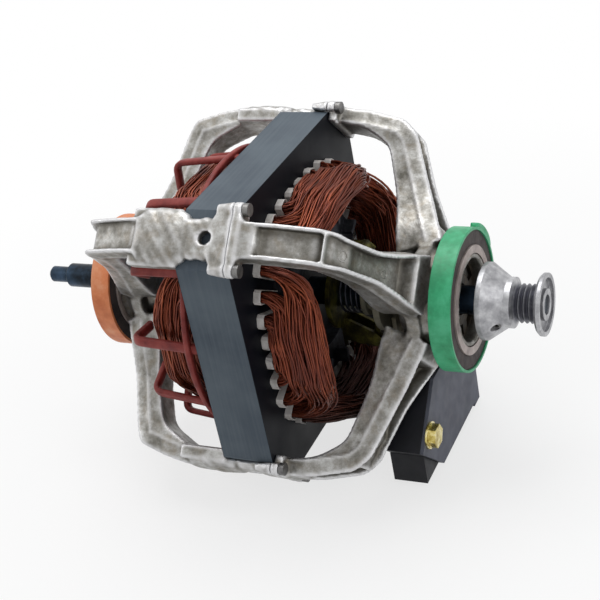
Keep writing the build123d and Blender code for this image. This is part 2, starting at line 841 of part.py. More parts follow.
def arm_to_switch_web():
    """Outline of the web that carries the switch screw's boss beside the arm flange."""
    near = half_arm - arm_wall / 2
    wide, narrow = switch_web_width / 2, switch_web_width / 3
    corners = [from_arm(near, switch_screw_arm_radius + wide),
               from_arm(near, switch_screw_arm_radius - wide),
               from_arm(switch_screw_arm_offset, switch_screw_arm_radius - narrow),
               from_arm(switch_screw_arm_offset, switch_screw_arm_radius + narrow)]
    return make_face(Polyline(*corners, close=True))


def switch_back_x():
    return switch_cover_x - switch_cover_thickness - switch_depth


def switch_housing():
    outline = make_face(Polyline(*switch_corner_points(), close=True))
    back = switch_back_x()
    front = switch_cover_x - switch_cover_thickness
    shell = across_x(outline, back, front)
    shell -= across_x(offset(outline, -switch_wall), back + switch_wall, front)
    bore_here = switch_screw_radius + screw_clearance
    tower = across_x(switch_screw_place() * Circle(bore_here + switch_wall) & outline, back, front)
    bore = across_x(switch_screw_place() * Circle(bore_here), back, front)
    window = Pos(back, 0, lever_pivot_z) \
        * Box(3 * switch_wall, lever_width + 2 * lever_window_gap, 3 * lever_heel_length)
    return shell + tower - bore - window + pivot_ears()


def pivot_ears():
    """Two ears on the housing's back wall that hold the lever's pin."""
    back = switch_back_x()
    gap_width = lever_width + 2 * lever_ear_gap
    full_width = gap_width + 2 * lever_ear_width
    front = lever_pivot_x + lever_boss_radius
    middle = Pos(0, lever_pivot_z)
    block = across_x(middle * Rectangle(full_width, 2.3 * lever_boss_radius), back, front)
    gap = across_x(middle * Rectangle(gap_width, 4 * lever_boss_radius), back - 1, front + 1)
    bore = Pos(lever_pivot_x, 0, lever_pivot_z) * Rot(90, 0, 0) \
        * Cylinder(lever_pin_radius + seat_clearance, 2 * lever_width)
    return block - gap - bore


def switch_cover():
    outline = make_face(Polyline(*switch_corner_points(), close=True))
    outline -= switch_screw_place() * Circle(switch_screw_radius + screw_clearance)
    return across_x(outline, switch_cover_x - switch_cover_thickness, switch_cover_x)


def switch_screw():
    """Hexagon-head screw with a pressed flange, through the cover into the arm's boss."""
    place = switch_screw_place()
    flange_x = switch_cover_x + switch_screw_flange_thickness
    hexagon = RegularPolygon(switch_screw_across_flats / 2, 6, major_radius=False)
    shank_x = switch_back_x() - switch_screw_bite
    shank = across_x(place * Circle(switch_screw_radius), shank_x, switch_cover_x)
    flange = across_x(place * Circle(switch_screw_flange_radius), switch_cover_x, flange_x)
    return shank + flange + across_x(place * hexagon, flange_x, switch_cover_x + switch_screw_head_height)


def terminal_block_corner():
    return (switch_cover_x - 2.5 - terminal_block_length, terminal_block_front, terminal_block_bottom)


def terminal_block():
    x, y, z = terminal_block_corner()
    block = Pos(x, y, z) * Box(terminal_block_length, terminal_block_width, terminal_block_height,
                               align=(Align.MIN, Align.MIN, Align.MIN))
    outline = make_face(Polyline(*switch_corner_points(), close=True))
    housing = across_x(outline, x - terminal_block_length, switch_cover_x)
    slots = []
    for index in range(terminal_count):
        middle = x + terminal_block_length / 2 + (index - (terminal_count - 1) / 2) * terminal_pitch
        slot = Box(terminal_slot_width, terminal_slot_length, 2 * terminal_blade_length)
        slots.append(Pos(middle, y + terminal_inset, z) * slot)
    return block - housing - slots


def switch_terminals():
    """Flat blades in the block's slots."""
    x, y, z = terminal_block_corner()
    blades = []
    for index in range(terminal_count):
        middle = x + terminal_block_length / 2 + (index - (terminal_count - 1) / 2) * terminal_pitch
        blade = Box(terminal_slot_width - 0.4, terminal_slot_length - 0.8, terminal_blade_length - 1,
                    align=(Align.CENTER, Align.CENTER, Align.MAX))
        blades.append(Pos(middle, y + terminal_inset, z + terminal_blade_length) * blade)
    return blades


def lever_face_x():
    """The lever's blower-side face lies just past the collar's flange."""
    return flange_end() + lever_gap


def switch_lever():
    low_x = lever_face_x()
    outline = Pos(0, (lever_tip_z + lever_pivot_z - lever_thickness / 2) / 2) \
        * Rectangle(lever_width, lever_tip_z - lever_pivot_z + lever_thickness / 2)
    outline -= Circle(shaft_radius + lever_fork_clearance)
    blade = across_x(outline, low_x, low_x + lever_thickness)
    boss = Pos(lever_pivot_x, 0, lever_pivot_z) * Rot(90, 0, 0) * Cylinder(lever_boss_radius, lever_width)
    arm_x = lever_pivot_x - low_x
    link = Pos(low_x + arm_x / 2, 0, lever_pivot_z) * Box(arm_x, lever_width, lever_thickness)
    heel = Pos(lever_pivot_x, 0, lever_pivot_z) \
        * Box(lever_thickness, lever_width, lever_heel_length, align=(Align.CENTER, Align.CENTER, Align.MAX))
    bore = Pos(lever_pivot_x, 0, lever_pivot_z) * Rot(90, 0, 0) \
        * Cylinder(lever_pin_radius + running_clearance, lever_width + 2)
    return blade + boss + link + heel - bore


def lever_pin():
    length = lever_width + 2 * (lever_ear_gap + lever_ear_width)
    return Pos(lever_pivot_x, 0, lever_pivot_z) * Rot(90, 0, 0) * Cylinder(lever_pin_radius, length)


def contact_leaves():
    """Fixed and springy start contacts behind the lever's heel, inside the housing."""
    wall = switch_bottom + switch_wall
    front = lever_pivot_x + lever_thickness / 2 + leaf_gap
    height = lever_pivot_z - lever_heel_length + leaf_overlap - wall
    standing = (Align.MIN, Align.CENTER, Align.MIN)
    leaf = Pos(front, 0, wall) * Box(leaf_thickness, leaf_width, height, align=standing)
    button_x = front + leaf_thickness
    button = Pos(0, wall + 0.6 * height) * Circle(contact_radius)
    button = across_x(button, button_x, button_x + contact_height)
    fixed_x = button_x + contact_height + contact_gap
    fixed = Pos(fixed_x, 0, wall) * Box(2 * leaf_thickness, leaf_width, 0.75 * height, align=standing)
    return [leaf + button, fixed]


nodes = {
    "stator_stack": stator_stack,
    "slot_liners": slot_liners,
    "main_winding_top": main_winding,
    "main_winding_front": lambda: about_shaft(main_winding(), 90),
    "main_winding_bottom": lambda: about_shaft(main_winding(), 180),
    "main_winding_rear": lambda: about_shaft(main_winding(), 270),
    "end_winding_cage": end_winding_cage,
    "pulley_bracket": pulley_bracket,
    "blower_bracket": blower_bracket,
    "bracket_screws": bracket_screws,
    "pulley_ring_band": lambda: ring_band(pulley_ring_x),
    "pulley_ring_rubber": lambda: ring_rubber(pulley_ring_x),
    "pulley_ring_sleeve": lambda: ring_sleeve(pulley_ring_x),
    "blower_ring_band": lambda: ring_band(-blower_ring_x),
    "blower_ring_rubber": lambda: ring_rubber(-blower_ring_x),
    "blower_ring_sleeve": lambda: ring_sleeve(-blower_ring_x),
    "pulley_bearing": lambda: bearing(1, pulley_ring_x),
    "blower_bearing": lambda: bearing(-1, blower_ring_x),
    "pulley_bearing_cap": lambda: bearing_cap(1, pulley_ring_x),
    "blower_bearing_cap": lambda: bearing_cap(-1, blower_ring_x),
    "shaft": shaft,
    "rotor_core": rotor_core,
    "rotor_cage": rotor_cage,
    "thrust_washers": thrust_washers,
    "governor_carrier": governor_carrier,
    "governor_weight_upper": lambda: governor_weight(0),
    "governor_weight_lower": lambda: governor_weight(180),
    "weight_pins": weight_pins,
    "governor_spring": governor_spring,
    "governor_collar": governor_collar,
    "pulley": pulley,
    "pulley_set_screw": pulley_set_screw,
    "switch_housing": switch_housing,
    "switch_cover": switch_cover,
    "switch_screw": switch_screw,
    "terminal_block": terminal_block,
    "switch_terminals": switch_terminals,
    "switch_lever": switch_lever,
    "lever_pin": lever_pin,
    "contact_leaves": contact_leaves,
}


def main():
    os.makedirs("parts", exist_ok=True)
    to_ring_centre = Pos(-pulley_ring_x, 0, 0)
    for name, make in nodes.items():
        made = make()
        solids = made if isinstance(made, list) else [made]
        group = Compound(children=[solid for shape in solids for solid in shape.solids()])
        export_step(to_ring_centre * group, f"parts/{name}.step")
    gap = least_gap_to_itself(coil_path(), wire_diameter)
    print(f"winding: {sum(coil_loop_counts)} loops, least gap to itself {gap:.2f} mm")


if __name__ == "__main__":
    main()
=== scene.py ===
"""Looks of an open-frame dryer motor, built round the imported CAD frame.

Lengths inside the shape functions are millimetres from the middle of the lamination stack, with
+X along the shaft towards the belt pulley and +Z up. to_frame() turns them into the row frame in
metres, which the materials' object coordinates are too.
"""
import json
import math

import bpy
import numpy as np
from mathutils import Matrix, Vector


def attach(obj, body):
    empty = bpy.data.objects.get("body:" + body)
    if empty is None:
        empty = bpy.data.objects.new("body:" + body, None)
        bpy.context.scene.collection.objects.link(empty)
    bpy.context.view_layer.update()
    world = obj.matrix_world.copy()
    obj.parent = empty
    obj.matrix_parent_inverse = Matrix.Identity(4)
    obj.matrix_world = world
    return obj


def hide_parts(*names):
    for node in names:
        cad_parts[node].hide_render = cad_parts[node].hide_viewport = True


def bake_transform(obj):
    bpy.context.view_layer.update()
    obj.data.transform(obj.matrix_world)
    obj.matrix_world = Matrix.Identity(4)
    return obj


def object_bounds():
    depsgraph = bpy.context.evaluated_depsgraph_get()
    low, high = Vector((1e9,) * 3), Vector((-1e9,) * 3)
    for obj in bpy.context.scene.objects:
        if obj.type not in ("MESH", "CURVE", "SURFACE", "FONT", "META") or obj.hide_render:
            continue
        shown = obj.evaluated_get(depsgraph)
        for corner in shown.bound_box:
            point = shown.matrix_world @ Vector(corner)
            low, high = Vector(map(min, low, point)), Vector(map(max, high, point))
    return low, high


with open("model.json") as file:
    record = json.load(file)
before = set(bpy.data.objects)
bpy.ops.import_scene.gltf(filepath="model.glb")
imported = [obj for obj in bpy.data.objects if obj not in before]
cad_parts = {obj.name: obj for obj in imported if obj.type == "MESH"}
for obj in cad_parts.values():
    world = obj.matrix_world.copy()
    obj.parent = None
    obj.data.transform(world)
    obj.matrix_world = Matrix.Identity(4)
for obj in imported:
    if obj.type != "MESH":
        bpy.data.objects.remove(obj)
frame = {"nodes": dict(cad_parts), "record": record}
nodes = frame["nodes"]
cad_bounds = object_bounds()
scene = bpy.context.scene

RING_X = 84.4               # pulley-end ring's middle, which is the frame's origin
BLOWER_RING_X = 82.9
HALF_RING = 4.8             # half the width of a mounting ring's seat
HALF_STACK = 12.25
CORNER_FLAT = 81.5          # from the shaft's axis to the flats cut on the stack's corners
MIDDLE = Vector((-RING_X / 1000, 0, 0))     # the stack's middle in the row frame, in metres


def to_frame(points):
    """Points in millimetres from the stack's middle, as metres in the row frame."""
    return (np.asarray(points, float) - np.array([RING_X, 0.0, 0.0])) * 0.001


# Colours and materials

def srgb(code):
    """A hexadecimal screen colour as linear red, green, blue and alpha."""
    values = [int(code[i:i + 2], 16) / 255 for i in (1, 3, 5)]
    linear = [v / 12.92 if v <= 0.04045 else ((v + 0.055) / 1.055) ** 2.4 for v in values]
    return (*linear, 1.0)


def fill(tree, node, inputs):
    """Give a node's inputs their values, or links from a socket or from a node's first output."""
    for name, value in inputs.items():
        if isinstance(value, bpy.types.Node):
            value = value.outputs[0]
        if isinstance(value, bpy.types.NodeSocket):
            tree.links.new(value, node.inputs[name])
        else:
            node.inputs[name].default_value = value


def add_node(tree, kind, inputs=None, stops=None, **settings):
    """Add a shader node of this kind, with its properties, inputs and colour stops."""
    node = tree.nodes.new("ShaderNode" + kind)
    for name, value in settings.items():
        setattr(node, name, value)
    fill(tree, node, inputs or {})
    for number, (position, code) in enumerate(stops or ()):
        elements = node.color_ramp.elements
        element = elements[number] if number < 2 else elements.new(position)
        element.position = position
        element.color = srgb(code)
    return node


def empty_tree(block):
    """The node tree of a material or world, with nothing in it."""
    block.use_nodes = True
    block.node_tree.nodes.clear()
    return block.node_tree


def new_material(name, **values):
    """A material with these values on its shader: also its tree, shader and object coordinates."""
    material = bpy.data.materials.new(name)
    tree = empty_tree(material)
    sockets = {key.replace("_", " ").title().replace("Ior", "IOR"): value
               for key, value in values.items()}
    shader = add_node(tree, "BsdfPrincipled", sockets)
    add_node(tree, "OutputMaterial", {"Surface": shader})
    place = add_node(tree, "TexCoord").outputs["Object"]
    return material, tree, shader, place


def along_and_out(tree, place):
    """Sockets of x, along the shaft, and of the distance from it, the length of (0, y, z)."""
    apart = add_node(tree, "SeparateXYZ", {"Vector": place}).outputs
    across = add_node(tree, "CombineXYZ", {"Y": apart["Y"], "Z": apart["Z"]})
    out = add_node(tree, "VectorMath", {0: across}, operation="LENGTH")
    return apart["X"], out.outputs["Value"]


def worked_surface(name, shades, rough, patch=14.0, grain=0.6, depth=0.02, edge=0.3,
                   turned=False, **values):
    """A finish whose colour wanders between a few shades and whose gloss is uneven.

    patch is the size of the colour patches, grain and depth the size and height of the skin's
    texture, and edge the radius that softens its edges, all in millimetres. A turned finish has
    its grain drawn out into rings about the shaft, as a lathe tool leaves it.
    """
    material, tree, shader, place = new_material(name, **values)
    patches = add_node(tree, "TexNoise", {
        "Vector": place, "Scale": 1000 / patch, "Detail": 6.0, "Roughness": 0.6})
    colour = add_node(tree, "ValToRGB", {"Fac": patches},
                      stops=zip(np.linspace(0.36, 0.64, len(shades)), shades))
    smears = add_node(tree, "TexNoise", {"Vector": place, "Scale": 2500 / patch, "Detail": 3.0})
    gloss = add_node(tree, "MapRange", {
        "Value": smears, "From Min": 0.3, "From Max": 0.7,
        "To Min": rough - 0.07, "To Max": rough + 0.08})
    if turned:
        x, out = along_and_out(tree, place)
        place = add_node(tree, "CombineXYZ", {"X": x, "Y": out})
    skin = add_node(tree, "TexNoise", {"Vector": place, "Scale": 1000 / grain, "Detail": 3.0})
    soft = add_node(tree, "Bevel", {"Radius": edge / 1000}, samples=6)
    relief = add_node(tree, "Bump", {
        "Height": skin, "Strength": 0.8, "Distance": depth / 1000, "Normal": soft})
    fill(tree, shader, {"Base Color": colour, "Roughness": gloss, "Normal": relief})
    return material


def die_cast_aluminium():
    """Pressure-cast alloy: dull and blotchy, with dirt and painted shade in its hollows and a
    painted highlight on its edges.

    Reads two numbers per point: one on outer edges for the painted highlight, and "hollow" in
    inner corners for the dirt and painted shade.
    """
    blotch, smear, wave, grit = 9.09, 5.88, 3.03, 0.769     # sizes in millimetres
    material, tree, shader, place = new_material("die_cast_aluminium", metallic=0.8)
    edge_highlight = add_node(tree, "Attribute", attribute_name="edge_highlight").outputs["Fac"]
    hollow = add_node(tree, "Attribute", attribute_name="hollow").outputs["Fac"]
    patches = add_node(tree, "TexNoise", {
        "Vector": place, "Scale": 1000 / blotch, "Detail": 8.0, "Roughness": 0.72})
    skin = add_node(tree, "ValToRGB", {"Fac": patches},
                    stops=((0.34, "#67655E"), (0.5, "#8F8D88"), (0.66, "#B6B6B4")))
    smears = add_node(tree, "TexNoise", {
        "Vector": place, "Scale": 1000 / smear, "Detail": 6.0, "Distortion": 0.8})
    soiled = add_node(tree, "MapRange", {
        "Value": smears, "From Min": 0.5, "From Max": 0.7, "To Max": 0.45})
    # stains from the smears, dirt and painted shade in the hollows, and a painted highlight on the
    # edges
    for amount, code in ((soiled, "#7A6E5A"), (hollow, "#57534B"), (edge_highlight, "#E2E2E4")):
        skin = add_node(tree, "Mix", {0: amount, 6: skin, 7: srgb(code)},
                        data_type="RGBA").outputs[2]
    gloss = add_node(tree, "MapRange", {
        "Value": patches, "From Min": 0.35, "From Max": 0.65, "To Min": 0.56, "To Max": 0.36})
    waves = add_node(tree, "TexNoise", {"Vector": place, "Scale": 1000 / wave, "Detail": 4.0})
    sand = add_node(tree, "TexNoise", {"Vector": place, "Scale": 1000 / grit, "Detail": 3.0})
    first = add_node(tree, "Bump", {"Height": waves, "Strength": 0.7, "Distance": 0.00035})
    second = add_node(tree, "Bump", {
        "Height": sand, "Strength": 0.6, "Distance": 0.00008, "Normal": first})
    fill(tree, shader, {"Base Color": skin, "Roughness": gloss, "Normal": second})
    return material


def enamelled_copper():
    """Copper wire under baked amber enamel: each strand has its own brown and a wet gloss.

    Reads "shade", one number per strand, to which patches of 11 mm add a little. The bottom of the
    windings, 26 to 48 mm under the shaft, is darkened almost to black as painted shade.
    """
    material, tree, shader, place = new_material("enamelled_copper", metallic=0.6,
                                                 coat_weight=0.15, coat_roughness=0.25)
    shade = add_node(tree, "Attribute", attribute_name="shade").outputs["Fac"]
    baked = add_node(tree, "TexNoise", {"Vector": place, "Scale": 1000 / 11.11, "Detail": 4.0})
    spread = add_node(tree, "Math", {0: baked, 1: 0.9, 2: -0.45}, operation="MULTIPLY_ADD")
    level = add_node(tree, "Math", {0: shade, 1: spread}, operation="ADD")
    colour = add_node(tree, "ValToRGB", {"Fac": level}, stops=(
        (0.0, "#421A10"), (0.35, "#6A2C1A"), (0.7, "#8A4024"), (1.0, "#B05C38")))
    # painted shade: the windings darken almost to black from 26 to 48 mm under the shaft
    height = add_node(tree, "SeparateXYZ", {"Vector": place}).outputs["Z"]
    painted_shade_below = add_node(tree, "MapRange", {
        "Value": height, "From Min": -0.026, "From Max": -0.048, "To Max": 0.9})
    colour_with_shade_below = add_node(tree, "Mix", {0: painted_shade_below, 6: colour, 7: srgb("#120908")}, data_type="RGBA")
    gloss = add_node(tree, "MapRange", {
        "Value": baked, "From Min": 0.3, "From Max": 0.7, "To Min": 0.44, "To Max": 0.3})
    fill(tree, shader, {"Base Color": colour_with_shade_below.outputs[2], "Roughness": gloss})
    return material


def painted_laminations():
    """Stacked sheet steel under thin slate paint, with the sheets' edges showing as fine lines.

    The sheets are drawn 1.2 mm apart, about twice their thickness, so that they show, under paint
    in patches of 22 mm. The two end faces are darkened almost to black as painted shade.
    """
    material, tree, shader, place = new_material("painted_laminations", specular_ior_level=0.15)
    patches = add_node(tree, "TexNoise", {"Vector": place, "Scale": 1000 / 22.22, "Detail": 6.0})
    paint = add_node(tree, "ValToRGB", {"Fac": patches},
                     stops=((0.35, "#48525C"), (0.65, "#5C666E")))
    drawn = add_node(tree, "Mapping", {"Vector": place, "Scale": (1.0, 0.02, 0.02)})
    sheets = add_node(tree, "TexNoise", {"Vector": drawn, "Scale": 1000 / 1.205, "Detail": 2.0})
    lines = add_node(tree, "MapRange", {
        "Value": sheets, "From Min": 0.35, "From Max": 0.7, "To Max": 0.2})
    lined = add_node(tree, "Mix", {0: lines, 6: paint, 7: srgb("#747C82")}, data_type="RGBA")
    # painted shade: the stack's two end faces darkened almost to black
    apart = add_node(tree, "SeparateXYZ", {"Vector": place}).outputs
    centred = add_node(tree, "Math", {0: apart["X"], 1: RING_X / 1000}, operation="ADD")
    far = add_node(tree, "Math", {0: centred}, operation="ABSOLUTE")
    end = add_node(tree, "MapRange", {
        "Value": far, "From Min": HALF_STACK / 1000 - 0.0002,
        "From Max": HALF_STACK / 1000 - 0.00005})
    colour = add_node(tree, "Mix", {
        0: end, 6: lined.outputs[2], 7: srgb("#070A12")}, data_type="RGBA")
    gloss = add_node(tree, "MapRange", {
        "Value": patches, "From Min": 0.3, "From Max": 0.7, "To Min": 0.42, "To Max": 0.58})
    soft = add_node(tree, "Bevel", {"Radius": 0.0002}, samples=6)
    relief = add_node(tree, "Bump", {
        "Height": sheets, "Strength": 0.5, "Distance": 0.0001, "Normal": soft})
    fill(tree, shader, {"Base Color": colour.outputs[2], "Roughness": gloss, "Normal": relief})
    return material


def turned_zinc_casting():
    """Turned pulley: bright speckled skin on the cone and flange, darker in the grooves.

    The darkening grows from 9.3 mm down to 8 mm from the shaft's axis, along the grooves only:
    from 23.5 to 33.1 mm past the ring's middle.
    """
    material = worked_surface("turned_zinc_casting", ("#8C8C8F", "#A4A4A7", "#BEBEC0"), 0.36,
                              patch=5.0, grain=0.5, depth=0.05, edge=0.35, metallic=0.85)
    tree = material.node_tree
    shader = next(node for node in tree.nodes if node.type == "BSDF_PRINCIPLED")
    skin = shader.inputs["Base Color"].links[0].from_socket
    x, out = along_and_out(tree, add_node(tree, "TexCoord").outputs["Object"])
    low = add_node(tree, "MapRange", {
        "Value": out, "From Min": 0.0093, "From Max": 0.0080, "To Max": 0.85})
    between = add_node(tree, "Math", {0: x, 1: 0.0283, 2: 0.0048}, operation="COMPARE")
    darker_in_grooves = add_node(tree, "Math", {0: low, 1: between}, operation="MULTIPLY")
    colour = add_node(tree, "Mix", {0: darker_in_grooves, 6: skin, 7: srgb("#3E3F4A")}, data_type="RGBA")
    fill(tree, shader, {"Base Color": colour.outputs[2]})
    return material


MATERIALS = {
    "lamination_paint": painted_laminations(),
    # polyester slot insulation: milky, slightly glossy, yellowed at its folds
    "slot_liner": worked_surface(
        "polyester_slot_insulation", ("#C2BBB4", "#DCD7D2", "#EAE5E0"), 0.5,
        patch=6.0, grain=1.0, depth=0.03, edge=0.6),
    "copper_enamel": enamelled_copper(),
    # glass-filled nylon moulding: red-brown, satin, with soft edges
    "cage_moulding": worked_surface(
        "glass_filled_nylon", ("#681E1C", "#82302B", "#94403A"), 0.46,
        patch=9.0, grain=0.7, depth=0.04, specular_ior_level=0.3),
    "cast_bracket": die_cast_aluminium(),
    # zinc-plated screw steel: grey, greasy, half bright
    "steel_screw": worked_surface(
        "zinc_plated_screw_steel", ("#5E5D5E", "#807F7D"), 0.42, patch=3.0, metallic=0.9),
    # band of moulded rubber-like plastic round the ring, green for the pulley end
    "green_band": worked_surface(
        "green_moulded_band", ("#238F5E", "#35A873", "#4CBB88"), 0.45,
        patch=10.0, grain=0.9, depth=0.04, edge=0.5),
    # the same in dull orange for the blower end
    "orange_band": worked_surface(
        "orange_moulded_band", ("#CC7040", "#DC8250", "#E49A70"), 0.5,
        patch=10.0, grain=0.9, depth=0.05, edge=0.5),
    # black rubber gone brown with dust
    "ring_rubber": worked_surface(
        "dusty_black_rubber", ("#2A2424", "#3C3433", "#463C3A"), 0.72,
        patch=8.0, grain=0.8, depth=0.06, edge=0.4),
    # pressed steel sleeve, pinkish from its wash primer
    "ring_sleeve": worked_surface(
        "washed_steel_sleeve", ("#8E827E", "#A99C97", "#B8ACA7"), 0.48,
        patch=7.0, edge=0.35, turned=True, metallic=0.35),
    # oil-filled sintered bronze: matt, brown and grainy
    "sintered_bronze": worked_surface(
        "sintered_bronze", ("#5E4630", "#80613C"), 0.55,
        patch=4.0, grain=0.4, depth=0.05, metallic=0.7),
    # blackened spring steel plate: dark brown-black, half dull
    "bearing_cap": worked_surface(
        "blackened_steel_plate", ("#2A2520", "#4A3E2E"), 0.5, patch=5.0, metallic=0.5),
    # ground steel bar with a dark blued skin
    "shaft_steel": worked_surface(
        "blued_ground_steel", ("#10161C", "#243240", "#34465A"), 0.34,
        patch=12.0, grain=0.35, depth=0.015, edge=0.4, turned=True, metallic=0.8),
    # varnished silicon steel: almost black, with turned rings
    "rotor_steel": worked_surface(
        "varnished_silicon_steel", ("#141416", "#232326"), 0.55,
        patch=8.0, depth=0.05, turned=True, metallic=0.3),
    # aluminium cast in the rotor, its colour darkened as painted shade for the shaded inside of
    # the motor
    "rotor_aluminium": worked_surface(
        "shade_darkened_cast_aluminium", ("#202126", "#36383E", "#4E5058"), 0.5,
        patch=7.0, grain=0.8, depth=0.08, edge=0.5, metallic=0.7),
    # pressed fibre washer soaked with oil: dark brown and matt
    "washer_fibre": worked_surface(
        "oiled_fibre", ("#33261C", "#4C382A"), 0.7, patch=3.0),
    # sheet steel with yellow chromate plating: greenish gold, cloudy, darkened as painted shade
    # for the shaded inside of the motor
    "governor_steel": worked_surface(
        "yellow_chromate_steel", ("#24210F", "#454019", "#6E6A2C"), 0.42, patch=6.0, metallic=0.7),
    # drawn spring wire under oil: smooth, darkened as painted shade for the shaded inside of the
    # motor
    "spring_steel": worked_surface(
        "oiled_spring_wire", ("#1C1D22", "#3A3C44"), 0.35, patch=3.0, metallic=0.8),
    # acetal: milky and waxy, darkened as painted shade for the shaded inside of the motor
    "governor_moulding": worked_surface(
        "natural_acetal", ("#5E5B4E", "#85816E"), 0.42, patch=8.0, edge=0.4),
    "pulley_metal": turned_zinc_casting(),
    # phenolic moulding: black with a slight blue sheen
    "switch_moulding": worked_surface(
        "black_phenolic", ("#0B0C11", "#16171D"), 0.5,
        patch=10.0, grain=0.9, depth=0.04, edge=0.5, specular_ior_level=0.25),
    # fibre-filled cover: slate grey, matt
    "switch_cover": worked_surface(
        "slate_phenolic_cover", ("#50525C", "#5F616C"), 0.6,
        grain=0.7, depth=0.03, edge=0.45, specular_ior_level=0.3),
    # yellow zinc plating: gold with pink and green clouds
    "zinc_yellow": worked_surface(
        "yellow_zinc_plating", ("#A89448", "#D2C27C", "#F0E8C2"), 0.26,
        patch=4.0, edge=0.5, metallic=0.9),
    # brass strip, tarnished
    "contact_brass": worked_surface(
        "tarnished_brass", ("#7E5F2C", "#B08A4A"), 0.4, patch=3.0, metallic=0.9),
    # glass-filled polyester lever: cream
    "lever_moulding": worked_surface(
        "cream_polyester", ("#8A826A", "#A89F86"), 0.5, patch=6.0, edge=0.4),
    # ground pin steel: pale and half bright
    "pin_steel": worked_surface(
        "ground_pin_steel", ("#77777C", "#9A9A9E"), 0.3, patch=3.0, metallic=0.9),
}
for part in frame["record"]["subparts"]:
    mesh = nodes[part["node"]].data
    mesh.materials.clear()
    mesh.materials.append(MATERIALS[part["material_slot"]])


# Mesh tools

def new_object(name, data):
    """An object that shows this data in the scene."""
    thing = bpy.data.objects.new(name, data)
    scene.collection.objects.link(thing)
    return thing


def add_piece(name, points, faces, material, body, stands_for=()):
    """Smooth mesh from millimetre points and a list of face arrays; it rides on a body, if one
    is named, and may stand for CAD nodes."""
    groups = [np.asarray(group, np.int32) for group in faces]
    sizes = np.concatenate([np.full(len(group), group.shape[1]) for group in groups])
    loops = np.concatenate([group.ravel() for group in groups])
    mesh = bpy.data.meshes.new(name)
    mesh.vertices.add(len(points))
    mesh.vertices.foreach_set("co", to_frame(points).astype(np.float32).ravel())
    mesh.loops.add(len(loops))
    mesh.loops.foreach_set("vertex_index", loops)
    mesh.polygons.add(len(sizes))
    mesh.polygons.foreach_set("loop_start", (np.cumsum(sizes) - sizes).astype(np.int32))
    mesh.polygons.foreach_set("use_smooth", np.ones(len(sizes), bool))
    mesh.update(calc_edges=True)
    mesh.materials.append(MATERIALS[material])
    piece = new_object(name, mesh)
    if body:
        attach(piece, body)
    if stands_for:
        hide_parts(*stands_for)
    return piece


def add_values(piece, name, values):
    """Store one number per point, for a material to read."""
    attribute = piece.data.attributes.new(name, "FLOAT", "POINT")
    attribute.data.foreach_set("value", np.asarray(values, np.float32))


def read_rows(items, name, width, kind=np.float32):
    """One property of a mesh's points or edges, as rows of this many numbers."""
    values = np.empty(len(items) * width, kind)
    items.foreach_get(name, values)
    return values.reshape(-1, width)


def merged(shapes):
    """Several pairs of points and face arrays as one pair, numbered on from each to the next."""
    points, faces, count = [], [], 0
    for own_points, own_faces in shapes:
        points.append(own_points)
        faces += [group + count for group in own_faces]
        count += len(own_points)
    return np.concatenate(points), faces


# Fields: the distance from a surface, negative inside it

def smoothstep(value, low, high):
    """0 up to low, 1 from high on, and 3 s squared less 2 s cubed at a share s between."""
    share = np.clip((value - low) / (high - low), 0, 1)
    return share * share * (3 - 2 * share)


def polygon_distance(x, y, corners):
    """Distance from points to a closed outline: to the nearest place on its nearest side."""
    nearest = np.full(np.broadcast(x, y).shape, 1e9)
    inside = np.zeros(nearest.shape, bool)
    for (ax, ay), (bx, by) in zip(corners, corners[1:] + corners[:1]):
        ex, ey = bx - ax, by - ay
        share = np.clip(((x - ax) * ex + (y - ay) * ey) / (ex * ex + ey * ey + 1e-12), 0, 1)
        nearest = np.minimum(nearest, (x - ax - share * ex) ** 2 + (y - ay - share * ey) ** 2)
        if ay != by:
            inside ^= ((y >= ay) != (y >= by)) & (x < ax + (y - ay) / (by - ay) * ex)
    return np.where(inside, -1, 1) * np.sqrt(nearest)


def turned_profile(x_values, radius, corners, spacing=0.2):
    """Field of an outline drawn as (x, radius), looked up for every x row and every radius."""
    radii = np.arange(0, radius.max() + 2 * spacing, spacing)
    table = polygon_distance(x_values[:, None], radii[None, :], corners).astype(np.float32)
    place = radius / spacing
    low = place.astype(int)
    share = (place - low).astype(np.float32)
    return table[:, low] * (1 - share) + table[:, low + 1] * share


def join(first, second, width):
    """Union of two fields with a fillet of about this width: they are mixed where they differ
    by less, and a parabola of the mix, at most a quarter of the width, is taken off."""
    share = np.clip(0.5 + 0.5 * (second - first) / width, 0, 1)
    return second + (first - second) * share - width * share * (1 - share)


def common(first, second, width):
    """Intersection of two fields with a rounded edge of about this width."""
    return -join(-first, -second, width)


def rounded_path(points, radius, steps=5):
    """Polyline with each inner corner replaced by a parabola that starts this far from it."""
    points = [np.array(point, float) for point in points]
    path = [points[0]]
    for before, corner, after in zip(points, points[1:], points[2:]):
        start, end = (corner + way / np.hypot(*way) * min(radius, np.hypot(*way) / 2)
                      for way in (before - corner, after - corner))
        for share in np.linspace(0, 1, steps):
            path.append((1 - share) ** 2 * start + 2 * share * (1 - share) * corner
                        + share ** 2 * end)
    path.append(points[-1])
    return [tuple(point) for point in path]


def even_path(points, spacing=0.7):
    """Polyline with points at an even spacing along the same line."""
    points = np.array(points, float)
    run = np.concatenate([[0], np.cumsum(np.linalg.norm(np.diff(points, axis=0), axis=1))])
    fine = np.linspace(0, run[-1], int(run[-1] / spacing) + 1)
    return list(zip(*(np.interp(fine, run, column) for column in points.T)))


def offset_path(points, distance):
    """Polyline moved sideways, to the left of its direction for a positive distance."""
    points = np.array(points, float)
    direction = np.gradient(points, axis=0)
    direction /= np.linalg.norm(direction, axis=1)[:, None]
    sideways = np.stack([-direction[:, 1], direction[:, 0]], 1)
    moved = points + np.broadcast_to(distance, len(points))[:, None] * sideways
    return [tuple(point) for point in moved]


CELL_CORNERS = [(i, j, k) for i in (0, 1) for j in (0, 1) for k in (0, 1)]
CELL_EDGES = [(a, b) for a in range(8) for b in range(a + 1, 8)
              if sum(abs(p - q) for p, q in zip(CELL_CORNERS[a], CELL_CORNERS[b])) == 1]


